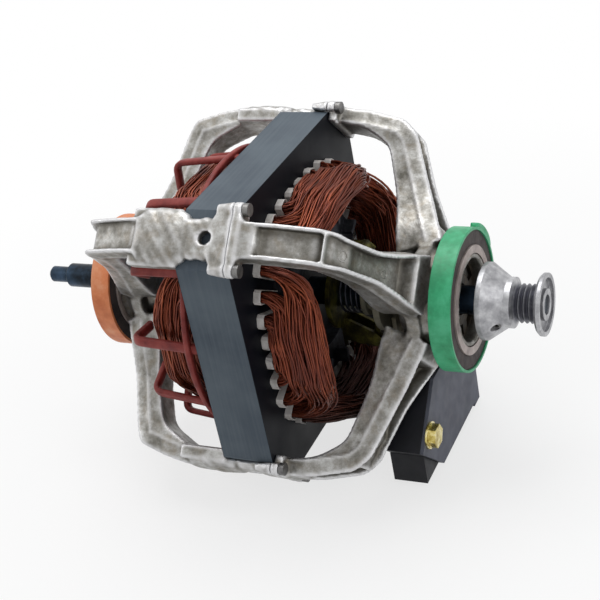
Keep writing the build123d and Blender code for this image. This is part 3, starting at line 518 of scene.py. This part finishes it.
def surface_net(field, start, step):
    """Skin of the zero level of a field of samples.

    Each cell that the level crosses gets one point, the mean of the crossings on its edges, and
    each sample edge that crosses it gets a face between the four cells round that edge.
    """
    inside = field < 0
    across, deep, high = np.array(inside.shape) - 1
    count = sum(inside[i:i + across, j:j + deep, k:k + high].astype(np.uint8)
                for i, j, k in CELL_CORNERS)
    mixed = (count > 0) & (count < 8)
    cells = np.argwhere(mixed)
    number = np.full(mixed.shape, -1, np.int32)
    number[mixed] = np.arange(len(cells))
    values = [field[cells[:, 0] + i, cells[:, 1] + j, cells[:, 2] + k] for i, j, k in CELL_CORNERS]
    total = np.zeros((len(cells), 3))
    hits = np.zeros(len(cells))
    for a, b in CELL_EDGES:
        crossed = (values[a] < 0) != (values[b] < 0)
        share = values[a][crossed] / (values[a][crossed] - values[b][crossed])
        first, second = np.array(CELL_CORNERS[a], float), np.array(CELL_CORNERS[b], float)
        total[crossed] += first + (second - first) * share[:, None]
        hits[crossed] += 1
    points = np.array(start) + (cells + total / hits[:, None]) * step
    faces = []
    for axis in range(3):
        order = (axis, (axis + 1) % 3, (axis + 2) % 3)
        turned_inside = inside.transpose(order)
        turned_number = number.transpose(order)
        here, beyond = turned_inside[:-1, 1:-1, 1:-1], turned_inside[1:, 1:-1, 1:-1]
        for chosen, sense in ((here & ~beyond, 1), (~here & beyond, -1)):
            i, j, k = np.nonzero(chosen)
            quad = [turned_number[i, j, k], turned_number[i, j + 1, k],
                    turned_number[i, j + 1, k + 1], turned_number[i, j, k + 1]]
            faces.append(np.stack(quad[::sense], 1))
    return points, faces


def neighbour_mean(values, edges, count):
    """Mean over each point's neighbours: the sum over its edges, over their number."""
    total = np.zeros_like(values)
    np.add.at(total, edges[:, 0], values[edges[:, 1]])
    np.add.at(total, edges[:, 1], values[edges[:, 0]])
    return total / np.maximum(count, 1).reshape(-1, *[1] * (values.ndim - 1))


def edge_highlight_and_hollow_shade(piece, reach=0.35, spreads=5):
    """Store how far each point stands out from its neighbours, for a painted highlight, or sinks
    in ("hollow"), for dirt and painted shade.

    The measure is the mean of the neighbours minus the point, taken along the point's normal and
    divided by the reach in millimetres, so a ridge is negative and an inner corner is positive.
    The hollows are spread to their neighbours a few times. The hub's seat gets no painted
    highlight: it begins 23.5 mm from the shaft's axis.
    """
    mesh = piece.data
    points = read_rows(mesh.vertices, "co", 3) * 1000
    normals = read_rows(mesh.vertices, "normal", 3)
    edges = read_rows(mesh.edges, "vertices", 2, np.int32)
    count = np.bincount(edges.ravel(), minlength=len(points))
    smooth = neighbour_mean(neighbour_mean(points, edges, count), edges, count)
    bend = np.sum((smooth - points) * normals, 1) / reach
    # painted highlight on ridges, dirt and painted shade in inner corners
    edge_highlight, hollow = np.clip(-bend, 0, 1), np.clip(bend, 0, 1)
    for _ in range(spreads):
        hollow = np.maximum(hollow, neighbour_mean(hollow, edges, count) * 1.25)
        hollow = neighbour_mean(np.minimum(hollow, 1), edges, count)
    edge_highlight = 0.5 * (edge_highlight + neighbour_mean(edge_highlight, edges, count))
    edge_highlight *= smoothstep(np.hypot(points[:, 1], points[:, 2]), 23.5, 26.0)
    add_values(piece, "edge_highlight", np.clip(1.4 * edge_highlight, 0, 0.8))
    add_values(piece, "hollow", np.clip(hollow, 0, 0.8))


# Shapes turned about the shaft or carried along a path

def about_shaft(x, radius, angle, aside=0.0):
    """Points at x, out from the shaft by the radius at an angle, and aside from there.

    Across the shaft that is radius * (cos, sin) of the angle, plus aside * (-sin, cos).
    """
    x, radius, angle, aside = np.broadcast_arrays(x, radius, angle, aside)
    return np.stack([x, radius * np.cos(angle) - aside * np.sin(angle),
                     radius * np.sin(angle) + aside * np.cos(angle)], -1)


def angles_round(count):
    """Angles of this many places, evenly round a circle."""
    return np.arange(count) * 2 * np.pi / count


def softened(values, power):
    """Cosines or sines of a circle as those of a superellipse: their size is taken to a power."""
    return np.sign(values) * np.abs(values) ** power


def ring_walls(here, there, around):
    """Quads between pairs of rings of points, each ring given by the number of its first one."""
    here, there = np.reshape(here, (-1, 1)), np.reshape(there, (-1, 1))
    column = np.arange(around)
    after = (column + 1) % around
    quads = np.stack([here + column, here + after, there + after, there + column], 2)
    return quads.reshape(-1, 4)


def lathe(profile, around=144):
    """Turn a closed outline of (x, radius) points about the shaft, with its faces outwards."""
    x, radius = np.array(profile, float).T
    points = about_shaft(x[:, None], radius[:, None], angles_round(around))
    first = np.arange(len(x)) * around
    quads = ring_walls(first, np.roll(first, -1), around)
    area = np.sum(x * np.roll(radius, -1) - np.roll(x, -1) * radius)
    return points.reshape(-1, 3), [quads if area < 0 else quads[:, ::-1]]


def tubes(paths, side_way, radius, sides, flat=1.0):
    """Tubes with closed ends along paths of equal length; side_way is never along a path.

    The section's points are radius times the cosine of their angle along the first cross
    direction, and flat times radius times its sine along the second. A section that isn't round
    is a superellipse of power 0.62.
    """
    paths = np.asarray(paths, float)
    ahead = np.gradient(paths, axis=1)
    ahead /= np.linalg.norm(ahead, axis=2)[..., None]
    first = np.cross(ahead, side_way)
    first /= np.linalg.norm(first, axis=2)[..., None]
    second = np.cross(ahead, first)
    angle = angles_round(sides)
    power = 1.0 if flat == 1.0 else 0.62
    ring = (first[:, :, None] * softened(np.cos(angle), power)[:, None]
            + second[:, :, None] * (flat * softened(np.sin(angle), power))[:, None])
    points = paths[:, :, None] + ring * radius
    starts = np.arange(paths[..., 0].size).reshape(paths.shape[:2]) * sides
    column = np.arange(sides)
    ends = np.concatenate([starts[:, :1] + column[::-1], starts[:, -1:] + column])
    return points.reshape(-1, 3), [ring_walls(starts[:, :-1], starts[:, 1:], sides), ends]


# Cast brackets

ROOT_TWO = math.sqrt(2)
CORNERS = np.radians((45, 135, 225, 315))       # where the arms are, round the shaft
HUB_BORE = 9.55
FOOT_EDGE = 16.25           # where the pulley bracket's feet end
PAD_EDGE = 35.25            # and the soles under the blower bracket's arms
BOSS_END = 31.8             # where the pad's boss meets the blower arm's channel
SEAT = CORNER_FLAT + 0.05   # undersides of the castings, just clear of the stack's corner flats
PULLEY_OUTER = [(FOOT_EDGE, 86.0), (30.0, 84.8), (48.5, 80.3), (55.0, 74.0), (63.5, 51.0),
                (76.0, 23.0)]
PULLEY_INNER = [(FOOT_EDGE, 78.5), (30.0, 76.0), (42.0, 68.0), (51.0, 38.0), (55.0, 16.0)]
BLOWER_OUTER = [(30.0, 86.2), (PAD_EDGE, 86.0), (46.0, 83.8), (60.0, 79.5), (64.0, 70.0),
                (75.0, 23.0)]
BLOWER_INNER = [(30.0, 77.6), (PAD_EDGE, 77.0), (50.0, 68.5), (56.0, 48.0), (57.0, 16.0)]
ARM_HALF, ARM_WALL = 8.0, 2.0
DRAFT = 0.07                # slope of the castings' walls, for the mould
ARM_WAIST = 0.8             # how much narrower an arm is on each side half way
HUB_FLARE = 5.0             # and how much wider towards the hub
DEEP_POCKET = (22.6, 49.9)  # between the pulley arm's foot and its bend
POCKET_DEPTH = 4.2
CHANNEL_START = {"pulley": 51.0, "blower": 32.4}
CHANNEL_DEPTH = {"pulley": (2.4, 7.0), "blower": (2.2, 3.4)}    # where it starts, near the hub
CROSS_RIB = 58.5            # low rib across the pulley-end channel
EJECTOR_PINS = ((54.3, 2.2), (61.6, 1.4))       # their marks' places along the arm, and radii
PAD_CROWN, PAD_HALF = 86.0, 8.7         # out from the shaft, and half width
BOSS_MIDDLE, BOSS_HALF = 20.5, 12.5     # along the shaft
BOSS_SWELL = 3.8            # how much wider than the pad on each side
PAD_HOLE = (-1.0, 3.0)      # its place along the shaft, and radius
SCREW_TIP = 5.0             # where the bracket screws end
SCREW_ASIDE, SCREW_OUT = 12.8, 83.6     # from the arm's middle plane, and from the shaft
EAR_RADIUS, SCREW_HOLE = 3.1, 1.6
SOLE_HALF = 12.4            # half width of the plate under an arm's end
SOLE_LOW, SOLE_HIGH = 77.5, 84.0        # and where it lies, out from the shaft


def hub_outline(ring_x):
    """Hub section as (x, distance from the shaft): flange, ring's seat, and the cap's recess."""
    low, high = ring_x - HALF_RING, ring_x + HALF_RING
    return [(60.0, HUB_BORE), (60.0, 16.0), (66.0, 18.5), (66.0, 24.0), (72.0, 24.0), (73.5, 22.5),
            (low, 22.5), (low, 20.45), (high, 20.45), (high, 18.4), (high - 7, 18.4),
            (high - 7, HUB_BORE)]


def channel_floor(kind, outer):
    """An arm's outer edge, and its channel's floor: the edge moved inwards by the channel's depth.

    The depth grows from its first value to its last over 18 mm, less 1.3 mm at the pulley end's
    cross rib, which has the section of a bell curve.
    """
    outer_path = even_path(rounded_path(outer, 2.5))
    place = np.array(outer_path)[:, 0]
    first, last = CHANNEL_DEPTH[kind]
    start = CHANNEL_START[kind]
    depth = first + (last - first) * smoothstep(place, start, start + 18)
    if kind == "pulley":
        depth = depth - 1.3 * np.exp(-((place - CROSS_RIB) / 1.2) ** 2)
    return outer_path, offset_path(outer_path, -depth)


def arm_field(kind, x_values, along, aside, outer, inner):
    """Channel arm: its side outline, less a channel that deepens towards the hub.

    The pulley end also has a deep pocket with one sloping end, a sharp ridge at its bend and a
    low cross rib. The arm's half width is ARM_HALF, less a waist half way, plus a flare at the
    hub, and each flank has draft away from the raised parting line, 7 mm below the outer edge.
    """
    outer_path, floor_path = channel_floor(kind, outer)
    inner_path = rounded_path(inner, 5.0)
    body = turned_profile(x_values, along, outer_path + inner_path[::-1])
    raised = offset_path(outer_path, 8.0)
    channel = turned_profile(x_values, along, floor_path + raised[::-1])
    x = x_values[:, None, None]
    pocket = common(channel, np.maximum(CHANNEL_START[kind] - x, 30.0 - along[None]), 0.8)
    if kind == "pulley":
        sunk_path = offset_path(outer_path, -POCKET_DEPTH)
        deep = turned_profile(x_values, along, sunk_path + raised[::-1])
        low, high = DEEP_POCKET
        below = np.clip(deep + POCKET_DEPTH, 0, POCKET_DEPTH)
        deep = common(deep, np.maximum(low - x + 0.55 * below, x - high + 0.1 * below), 0.5)
        pocket = np.minimum(pocket, deep)
    half = (ARM_HALF - ARM_WAIST * smoothstep(-along, -76, -66) * smoothstep(along, 42, 52)
            + HUB_FLARE * smoothstep(-along, -48, -22))
    draft = DRAFT * np.clip(-pocket, 0, 10)
    hollow = common(pocket, (aside - half + ARM_WALL)[None] + draft, 1.0)
    split_path = offset_path(outer_path, -7.0)
    split = np.abs(turned_profile(x_values, along, split_path + raised[::-1]))
    flank = (aside - half)[None] + DRAFT * np.clip(split, 0, 9) - 0.4 * np.exp(-(split / 0.9) ** 2)
    return common(common(body, flank, 0.8), -hollow, 0.8)


def pad_field(kind, x, along, aside, uneven, low, high):
    """Corner pad on the stack's flat: a band as wide as the arm, with a boss at the blower end.

    The boss widens the band by up to BOSS_SWELL a side, in a rounded bulge from a parabola to the
    power 0.6, and lifts its crown. Crown and sides wander with the given unevenness, as a casting
    trimmed by hand does.
    """
    boss = np.zeros_like(x)
    if kind == "blower":
        boss = np.clip(1 - ((x - BOSS_MIDDLE) / BOSS_HALF) ** 2, 0, 1) ** 0.6
    crown = PAD_CROWN + 1.3 * boss + uneven - 0.016 * aside[None] ** 2
    sides = aside[None] - PAD_HALF - BOSS_SWELL * boss - 2 * uneven
    pad = common(common(along[None] - crown, sides, 2.2), SEAT - along[None], 0.3)
    return common(pad, np.maximum(low - x, x - high), 1.6)


def ear_field(x, along, aside, low, high, taper):
    """Two round ears for the bracket screws, on short webs, and the distance from the screws.

    The ears' radius shrinks by the taper for each millimetre from low to high.
    """
    screw = np.hypot(aside - SCREW_ASIDE, along - SCREW_OUT)
    web = np.maximum(aside - SCREW_ASIDE, np.abs(along - SCREW_OUT - 0.3) - 2.4)
    ear = np.maximum(join(screw - EAR_RADIUS, web, 1.0), SEAT - along)
    ear = ear[None] + taper * np.clip(x - low, 0, 99)
    return common(ear, np.maximum(low - x, x - high), 0.6), screw


def bracket_mesh(kind):
    """One end bracket with its four arms: the skin of its field, sampled every 0.9 mm.

    Arms, hub, pads, ears and the soles under the arms' ends are joined with fillets, and the
    stack, the bore and the holes are cut out. It is drawn for the pulley end, and the blower's is
    turned round upright at the end.
    """
    pulley = kind == "pulley"
    step = 0.9
    outer, inner = (PULLEY_OUTER, PULLEY_INNER) if pulley else (BLOWER_OUTER, BLOWER_INNER)
    ring_x = RING_X if pulley else BLOWER_RING_X
    x_values = np.arange(10.0 if pulley else -14.5, ring_x + 7, step).astype(np.float32)
    reach = np.arange(-73.2, 73.3, step).astype(np.float32)
    y, z = np.meshgrid(reach, reach, indexing="ij")
    along = (np.abs(y) + np.abs(z)) / ROOT_TWO
    aside = np.abs(np.abs(y) - np.abs(z)) / ROOT_TWO
    shaft = np.hypot(y, z)
    x = x_values[:, None, None]
    field = join(arm_field(kind, x_values, along, aside, outer, inner),
                 turned_profile(x_values, shaft, hub_outline(ring_x)), 3.0)
    low, high = (HALF_STACK, FOOT_EDGE) if pulley else (-HALF_STACK, BOSS_END)
    uneven = (0.22 * np.sin(0.43 * x + 0.31 * y[None] + 1.0) * np.sin(0.37 * z[None] - 0.29 * x)
              + 0.13 * np.sin(0.9 * x - 0.7 * z[None]) * np.sin(0.8 * y[None] + 0.35 * x))
    field = join(field, pad_field(kind, x, along, aside, uneven, low, high), 1.5)
    ear_high = FOOT_EDGE if pulley else 1.0 - SCREW_TIP
    ears, screw = ear_field(x, along, aside, low, ear_high, 0.0 if pulley else 0.14)
    field = join(field, ears, 3.0)
    hole_end = ear_high + 0.5 if pulley else low + 2.5
    field = np.maximum(field, np.where(x < hole_end, (SCREW_HOLE - screw)[None], -9.0))
    sole = np.maximum(SOLE_LOW - along, along - SOLE_HIGH)[None]
    sole = common(sole, (aside - SOLE_HALF)[None], 1.0)
    sole_end = FOOT_EDGE if pulley else PAD_EDGE
    sole = common(sole, np.maximum(HALF_STACK - x, x - sole_end), 0.8)
    cuts = [np.where(x < HALF_STACK, (CORNER_FLAT - along)[None], -9.0),
            (HUB_BORE - shaft)[None], low - x, x - (ring_x + HALF_RING)]
    if not pulley:
        hole_x, hole_radius = PAD_HOLE
        hole = np.hypot(x - hole_x, aside[None]) - hole_radius
        cuts.append(np.where(along[None] > 70, -hole, -9.0))
    field = join(field, sole, 0.8)
    for cut in cuts:
        field = np.maximum(field, cut)
    points, faces = surface_net(field, (x_values[0], reach[0], reach[0]), step)
    if not pulley:
        points[:, :2] *= -1
    return points, faces


def ejector_marks():
    """Round marks of the mould's pins on the pulley-end channels' floors, as low rings.

    A ring is a small circle of radius 0.3 mm carried round a larger one, which lies in the
    floor: its axis is the floor's normal at that place along the arm. Its faces are turned over,
    because the way from the lathe's axes to the floor's is a mirror.
    """
    edge, out = np.array(channel_floor("pulley", PULLEY_OUTER)[1]).T
    section = angles_round(8)
    marks = []
    for place, size in EJECTOR_PINS:
        middle = np.interp(place, edge, out)
        ahead = np.array([1.0, np.interp(place + 1, edge, out) - middle])
        ahead /= np.hypot(*ahead)
        circle = np.stack([0.3 * np.cos(section), size + 0.3 * np.sin(section)], 1)
        ring, (quads,) = lathe(circle, 32)
        up, forth, side = ring.T
        x = place + forth * ahead[0] - up * ahead[1]
        radius = middle + forth * ahead[1] + up * ahead[0]
        marks += [(about_shaft(x, radius, corner, side), [quads[:, ::-1]]) for corner in CORNERS]
    add_piece("ejector_pin_marks", *merged(marks), "cast_bracket", "stator")


# Windings

SLOT_COUNT = 32
STRAND = 0.8                # wire diameter
# For a coil's slot, counted from the flat's middle: the wires in it, and its bundle's middle along
# the shaft and out from it, depth and height.
COILS = {4: (148, 31.6, 50.5, 13.5, 12.5), 3: (90, 24.0, 51.0, 9.0, 12.5),
         2: (62, 18.5, 51.0, 6.5, 11.5)}


def slot_root(turn):
    """Slot bottom radius at an angle from a flat: shallow behind the flat, deep at the corner."""
    return 54.0 + 7.5 * (1 - math.cos(math.radians(4 * turn))) / 2


def bundle_places(count, width, height):
    """Wire places in a rounded bundle, as (sideways, outward) pairs.

    They lie on superellipses of power 0.8, one inside the other, with the wires of every second
    one half a wire on.
    """
    places = np.zeros((0, 2))
    for ring in range(40):
        share = 1 - ring * 2.1 * STRAND / min(width, height)
        if share <= 0.05 or len(places) >= count:
            break
        around = int(math.pi * (width + height) / 2 * share / STRAND)
        angle = 2 * np.pi * (np.arange(around) + 0.5 * (ring % 2)) / around
        places = np.concatenate([places, np.stack([
            share * width / 2 * softened(np.cos(angle), 0.8),
            share * height / 2 * softened(np.sin(angle), 0.8)], 1)])
    return places[:count]


def end_turn(coil, side, rng):
    """Wires of one coil from its slot on one side of the flat to its slot on the other.

    Each wire leaves its slot along the shaft, bends round a quarter of an ellipse to its place in
    the bundle, runs along the flat, and goes down into the other slot in the same way. Its
    distance from the shaft drifts from the slot's to the bundle's, it changes places with its
    neighbours on the way, and it sways a little, on sines of its own.
    """
    wires, far, middle_r, depth, height = COILS[coil]
    turn = math.radians(360 / SLOT_COUNT * (coil - 0.5))
    places = bundle_places(wires, depth, height)
    slot_r = slot_root(math.degrees(turn)) - 1.2 - 10.5 * rng.permutation(wires) / wires
    slot_t = rng.uniform(-1.9, 1.9, wires)
    start_x = HALF_STACK - 1.5
    quarter = np.linspace(0, np.pi / 2, 8)
    paths = []
    for number in range(wires):
        across = slot_r[number] * math.sin(turn) + slot_t[number] * math.cos(turn)
        start_r = slot_r[number] * math.cos(turn) - slot_t[number] * math.sin(turn)
        x_end = far + places[number, 0]
        ahead = min(rng.uniform(0.62, 0.9) * (x_end - start_x), x_end - start_x - 2.5)
        sideways = min(rng.uniform(0.7, 1.15) * ahead, 0.62 * across)
        x = np.concatenate([[start_x], x_end - ahead + ahead * np.sin(quarter),
                            np.full(5, x_end)])
        y = np.concatenate([[across], across - sideways + sideways * np.cos(quarter),
                            (across - sideways) * np.linspace(0.8, 0, 5)])
        drift = smoothstep(-y, -across, -0.35 * across)
        r = start_r + (middle_r + places[number, 1] - start_r) * drift
        x = x + 1.2 * (1 - (y / across) ** 2) * drift
        half = np.stack([x, y, r], 1)
        path = np.concatenate([half * [1, -1, 1], half[-2::-1]])
        along = np.linspace(0, 1, len(path))
        path[:, ::2] += np.sin(2 * np.pi * along)[:, None] * rng.normal(0, 0.55, 2)
        wave = np.stack([np.sin(2 * np.pi * (along * rng.uniform(1.5, 3) + rng.uniform()))
                         for _ in range(3)], 1)
        paths.append(path + 0.4 * np.sin(np.pi * along)[:, None] * wave * [1, 0, 1])
    paths = np.array(paths)
    paths[:, :, 0] *= side
    return paths


def winding_piece(name, turn, node):
    """All the wires of one winding at both ends of the stack, drawn for the flat on +Z and then
    turned about the shaft, each as a five-sided tube with a shade of its own."""
    rng = np.random.default_rng(100 + turn)
    paths = np.concatenate([end_turn(coil, side, rng) for side in (1, -1) for coil in COILS])
    x, y, z = np.moveaxis(paths, 2, 0)
    paths = about_shaft(x, y, math.radians(turn), z)
    points, faces = tubes(paths, np.array([1.0, 0.02, 0.013]), STRAND / 2, sides=5)
    piece = add_piece(name, points, faces, "copper_enamel", "stator", [node])
    shade = np.clip(rng.normal(0.5, 0.13, len(paths)), 0.05, 1)
    add_values(piece, "shade", np.repeat(shade, len(points) // len(paths)))


# Cage over the blower-side end turns

CAGE_RADIUS = 65.0
CAGE_RIM, CAGE_TIP = 5.5, 37.0      # from the stack's face to the rim, and to the fingers' tips
FINGERS = np.radians(24.0 + 30.0 * np.arange(12))
FINGER_WIDE, FINGER_THICK = 4.6, 2.8


def cage_piece():
    """Moulded cage: a rim round the blower-side end turns, and bent fingers that stand on it.

    A finger goes from the stack's face past the rim, slopes in to its outer corner and turns
    down to its tip, on a path with rounded corners. Its section and the rim's are superellipses
    of power 0.62.
    """
    half = FINGER_THICK / 2
    rim_x, outer_x = -HALF_STACK - CAGE_RIM, -HALF_STACK - CAGE_TIP + half
    corners = [(-HALF_STACK, CAGE_RADIUS - half), (rim_x, CAGE_RADIUS - half),
               (outer_x, CAGE_RADIUS - 4.4), (outer_x, CAGE_RADIUS - 19.5)]
    x, radius = np.array(even_path(rounded_path(corners, 4.0, 7), 1.2)).T
    shapes = [tubes([about_shaft(x, radius, angle)], about_shaft(0, 0, angle, 1), half,
                    sides=16, flat=FINGER_WIDE / FINGER_THICK) for angle in FINGERS]
    section = angles_round(16)
    shapes.append(lathe(np.stack([rim_x + 1.4 * softened(np.cos(section), 0.62),
                                  CAGE_RADIUS + 1.7 * softened(np.sin(section), 0.62)], 1)))
    add_piece("end_turn_cage", *merged(shapes), "cage_moulding", "stator", ["end_winding_cage"])


# Governor spring

SPRING_RADIUS, SPRING_TURNS, SPRING_WIRE = 8.6, 4, 1.4


def governor_spring_piece():
    """Round-wire helix between the carrier and the collar, which closes up as the collar slides.

    Its middle line is x = start + length * turn / (2 pi * turns), at a fixed distance from the
    shaft's axis and at the angle of the turn.
    """
    places = read_rows(nodes["governor_spring"].data.vertices, "co", 3)[:, 0]
    low, high = (float(end) * 1000 + RING_X for end in (places.min(), places.max()))
    turn = np.linspace(0, 2 * np.pi * SPRING_TURNS, 161)
    x = low + SPRING_WIRE / 2 + (high - low - SPRING_WIRE) * turn / turn[-1]
    points, faces = tubes([about_shaft(x, SPRING_RADIUS, turn)], np.array([1.0, 0, 0]),
                          SPRING_WIRE / 2, sides=12)
    spring = add_piece("governor_spring_wire", points, faces, "spring_steel", None,
                       ["governor_spring"])
    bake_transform(spring)


# Resilient rings' locating tab and lug

def rim_strip(name, middle_x, width, low_r, high_r, start, stop, material):
    """Rounded strip round part of a ring's rim, from one angle in degrees to another.

    Round its section, a superellipse of power 0.35 makes a block with soft corners; along it, the
    section turns about the shaft and shrinks to a point at both ends as the same power of a sine.
    """
    rings, around = 33, 24
    turn = np.linspace(0, np.pi, rings)[:, None]
    section = angles_round(around)
    size = softened(np.sin(turn).clip(0), 0.35)
    x = middle_x + size * softened(np.cos(section), 0.35) * width / 2
    radius = (low_r + high_r) / 2 + size * softened(np.sin(section), 0.35) * (high_r - low_r) / 2
    angle = np.radians(start + (stop - start) * (1 - np.cos(turn)) / 2)
    first = np.arange(rings) * around
    add_piece(name, about_shaft(x, radius, angle).reshape(-1, 3),
              [ring_walls(first[:-1], first[1:], around)], material, "stator")


# Pieces of the motor

for kind in ("pulley", "blower"):
    edge_highlight_and_hollow_shade(add_piece(f"{kind}_end_casting", *bracket_mesh(kind), "cast_bracket", "stator",
                        [f"{kind}_bracket"]))
for turn, place in ((0, "top"), (90, "front"), (180, "bottom"), (270, "rear")):
    winding_piece(f"wires_{place}", turn, f"main_winding_{place}")
ejector_marks()
cage_piece()
governor_spring_piece()
rim_strip("green_band_tab", 86.6, 5.2, 31.0, 34.4, 14, 54, "green_band")
rim_strip("rubber_ring_lug", 85.0, 5.6, 30.6, 35.4, -66, -54, "ring_rubber")

# Camera, where a fit to the photograph's measures puts it

TURN, LIFT, ROLL = math.radians(29.28), math.radians(29.70), math.radians(-11.69)
EYE_BACK, EYE_RIGHT, EYE_UP = 607.9, 5.31, -5.39    # millimetres from the stack's middle
back = Vector((math.sin(TURN) * math.cos(LIFT), -math.cos(TURN) * math.cos(LIFT), math.sin(LIFT)))
level_right = Vector((math.cos(TURN), math.sin(TURN), 0))
level_up = back.cross(level_right)
right = math.cos(ROLL) * level_right + math.sin(ROLL) * level_up
up = -math.sin(ROLL) * level_right + math.cos(ROLL) * level_up
turned = Matrix((right, up, back)).transposed().to_4x4()
turned.translation = MIDDLE + (back * EYE_BACK + right * EYE_RIGHT + up * EYE_UP) * 0.001
camera = new_object("camera", bpy.data.cameras.new("camera"))
camera.matrix_world = turned
camera.data.sensor_width = 36
camera.data.lens = 78.83
camera.data.clip_start = 0.01
camera.data.clip_end = 20
scene.camera = camera


# Light and floor

def area_light(name, direction, distance, size, power):
    """Square soft white light that faces the motor from a direction in camera right, up, back."""
    light = bpy.data.lights.new(name, "AREA")
    light.size = size
    light.energy = power
    lamp = new_object(name, light)
    aim = (right * direction[0] + up * direction[1] + back * direction[2]).normalized()
    lamp.location = MIDDLE + aim * distance
    lamp.rotation_mode = "QUATERNION"
    lamp.rotation_quaternion = aim.to_track_quat("Z", "Y")


area_light("key", (-0.25, 1.0, 0.3), 1.0, 0.7, 6.0)
area_light("fill", (0.9, 0.25, 0.8), 1.3, 0.8, 2.6)
area_light("rim", (-1.0, 0.3, 0.1), 1.2, 0.6, 1.8)


def seen_rays(tree):
    """1 for what is seen straight, in a reflection or through glass, 0 for light on things."""
    path = add_node(tree, "LightPath").outputs
    mirror = add_node(tree, "Math", {0: path["Is Camera Ray"], 1: path["Is Glossy Ray"]},
                      operation="MAXIMUM")
    return add_node(tree, "Math", {0: mirror, 1: path["Is Transmission Ray"]},
                    operation="MAXIMUM")


WHITE = (1, 1, 1, 1)
scene.world = bpy.data.worlds.new("white")
sky = empty_tree(scene.world)
soft = add_node(sky, "Background", {"Color": srgb("#F4F6FA"), "Strength": 0.42})
white = add_node(sky, "Background", {"Color": WHITE})
choose = add_node(sky, "MixShader", {0: seen_rays(sky), 1: soft, 2: white})
add_node(sky, "OutputWorld", {"Surface": choose})

# Matt paper floor: it keeps the motor's shadow beside it, and fades to plain white further off,
# from 120 to 380 mm from the stack's middle.
paper = bpy.data.materials.new("matt_white_paper")
tree = empty_tree(paper)
place = add_node(tree, "TexCoord").outputs["Object"]
far = add_node(tree, "VectorMath", {0: place, 1: MIDDLE}, operation="DISTANCE")
fade = add_node(tree, "MapRange", {
    "Value": far.outputs["Value"], "From Min": 0.12, "From Max": 0.38, "To Min": 0.72})
share = add_node(tree, "Math", {0: seen_rays(tree), 1: fade}, operation="MULTIPLY")
matt = add_node(tree, "BsdfDiffuse", {"Color": srgb("#F3F3F2")})
glow = add_node(tree, "Emission", {"Color": WHITE})
both = add_node(tree, "MixShader", {0: share, 1: matt, 2: glow})
add_node(tree, "OutputMaterial", {"Surface": both})
low = cad_bounds[0][2] - 0.0006     # just under the lowest solid
floor_mesh = bpy.data.meshes.new("floor")
floor_mesh.from_pydata([(-9, -9, low), (9, -9, low), (9, 9, low), (-9, 9, low)], [],
                       [(0, 1, 2, 3)])
floor_mesh.materials.append(paper)
floor = new_object("floor", floor_mesh)

scene.view_settings.view_transform = "Standard"
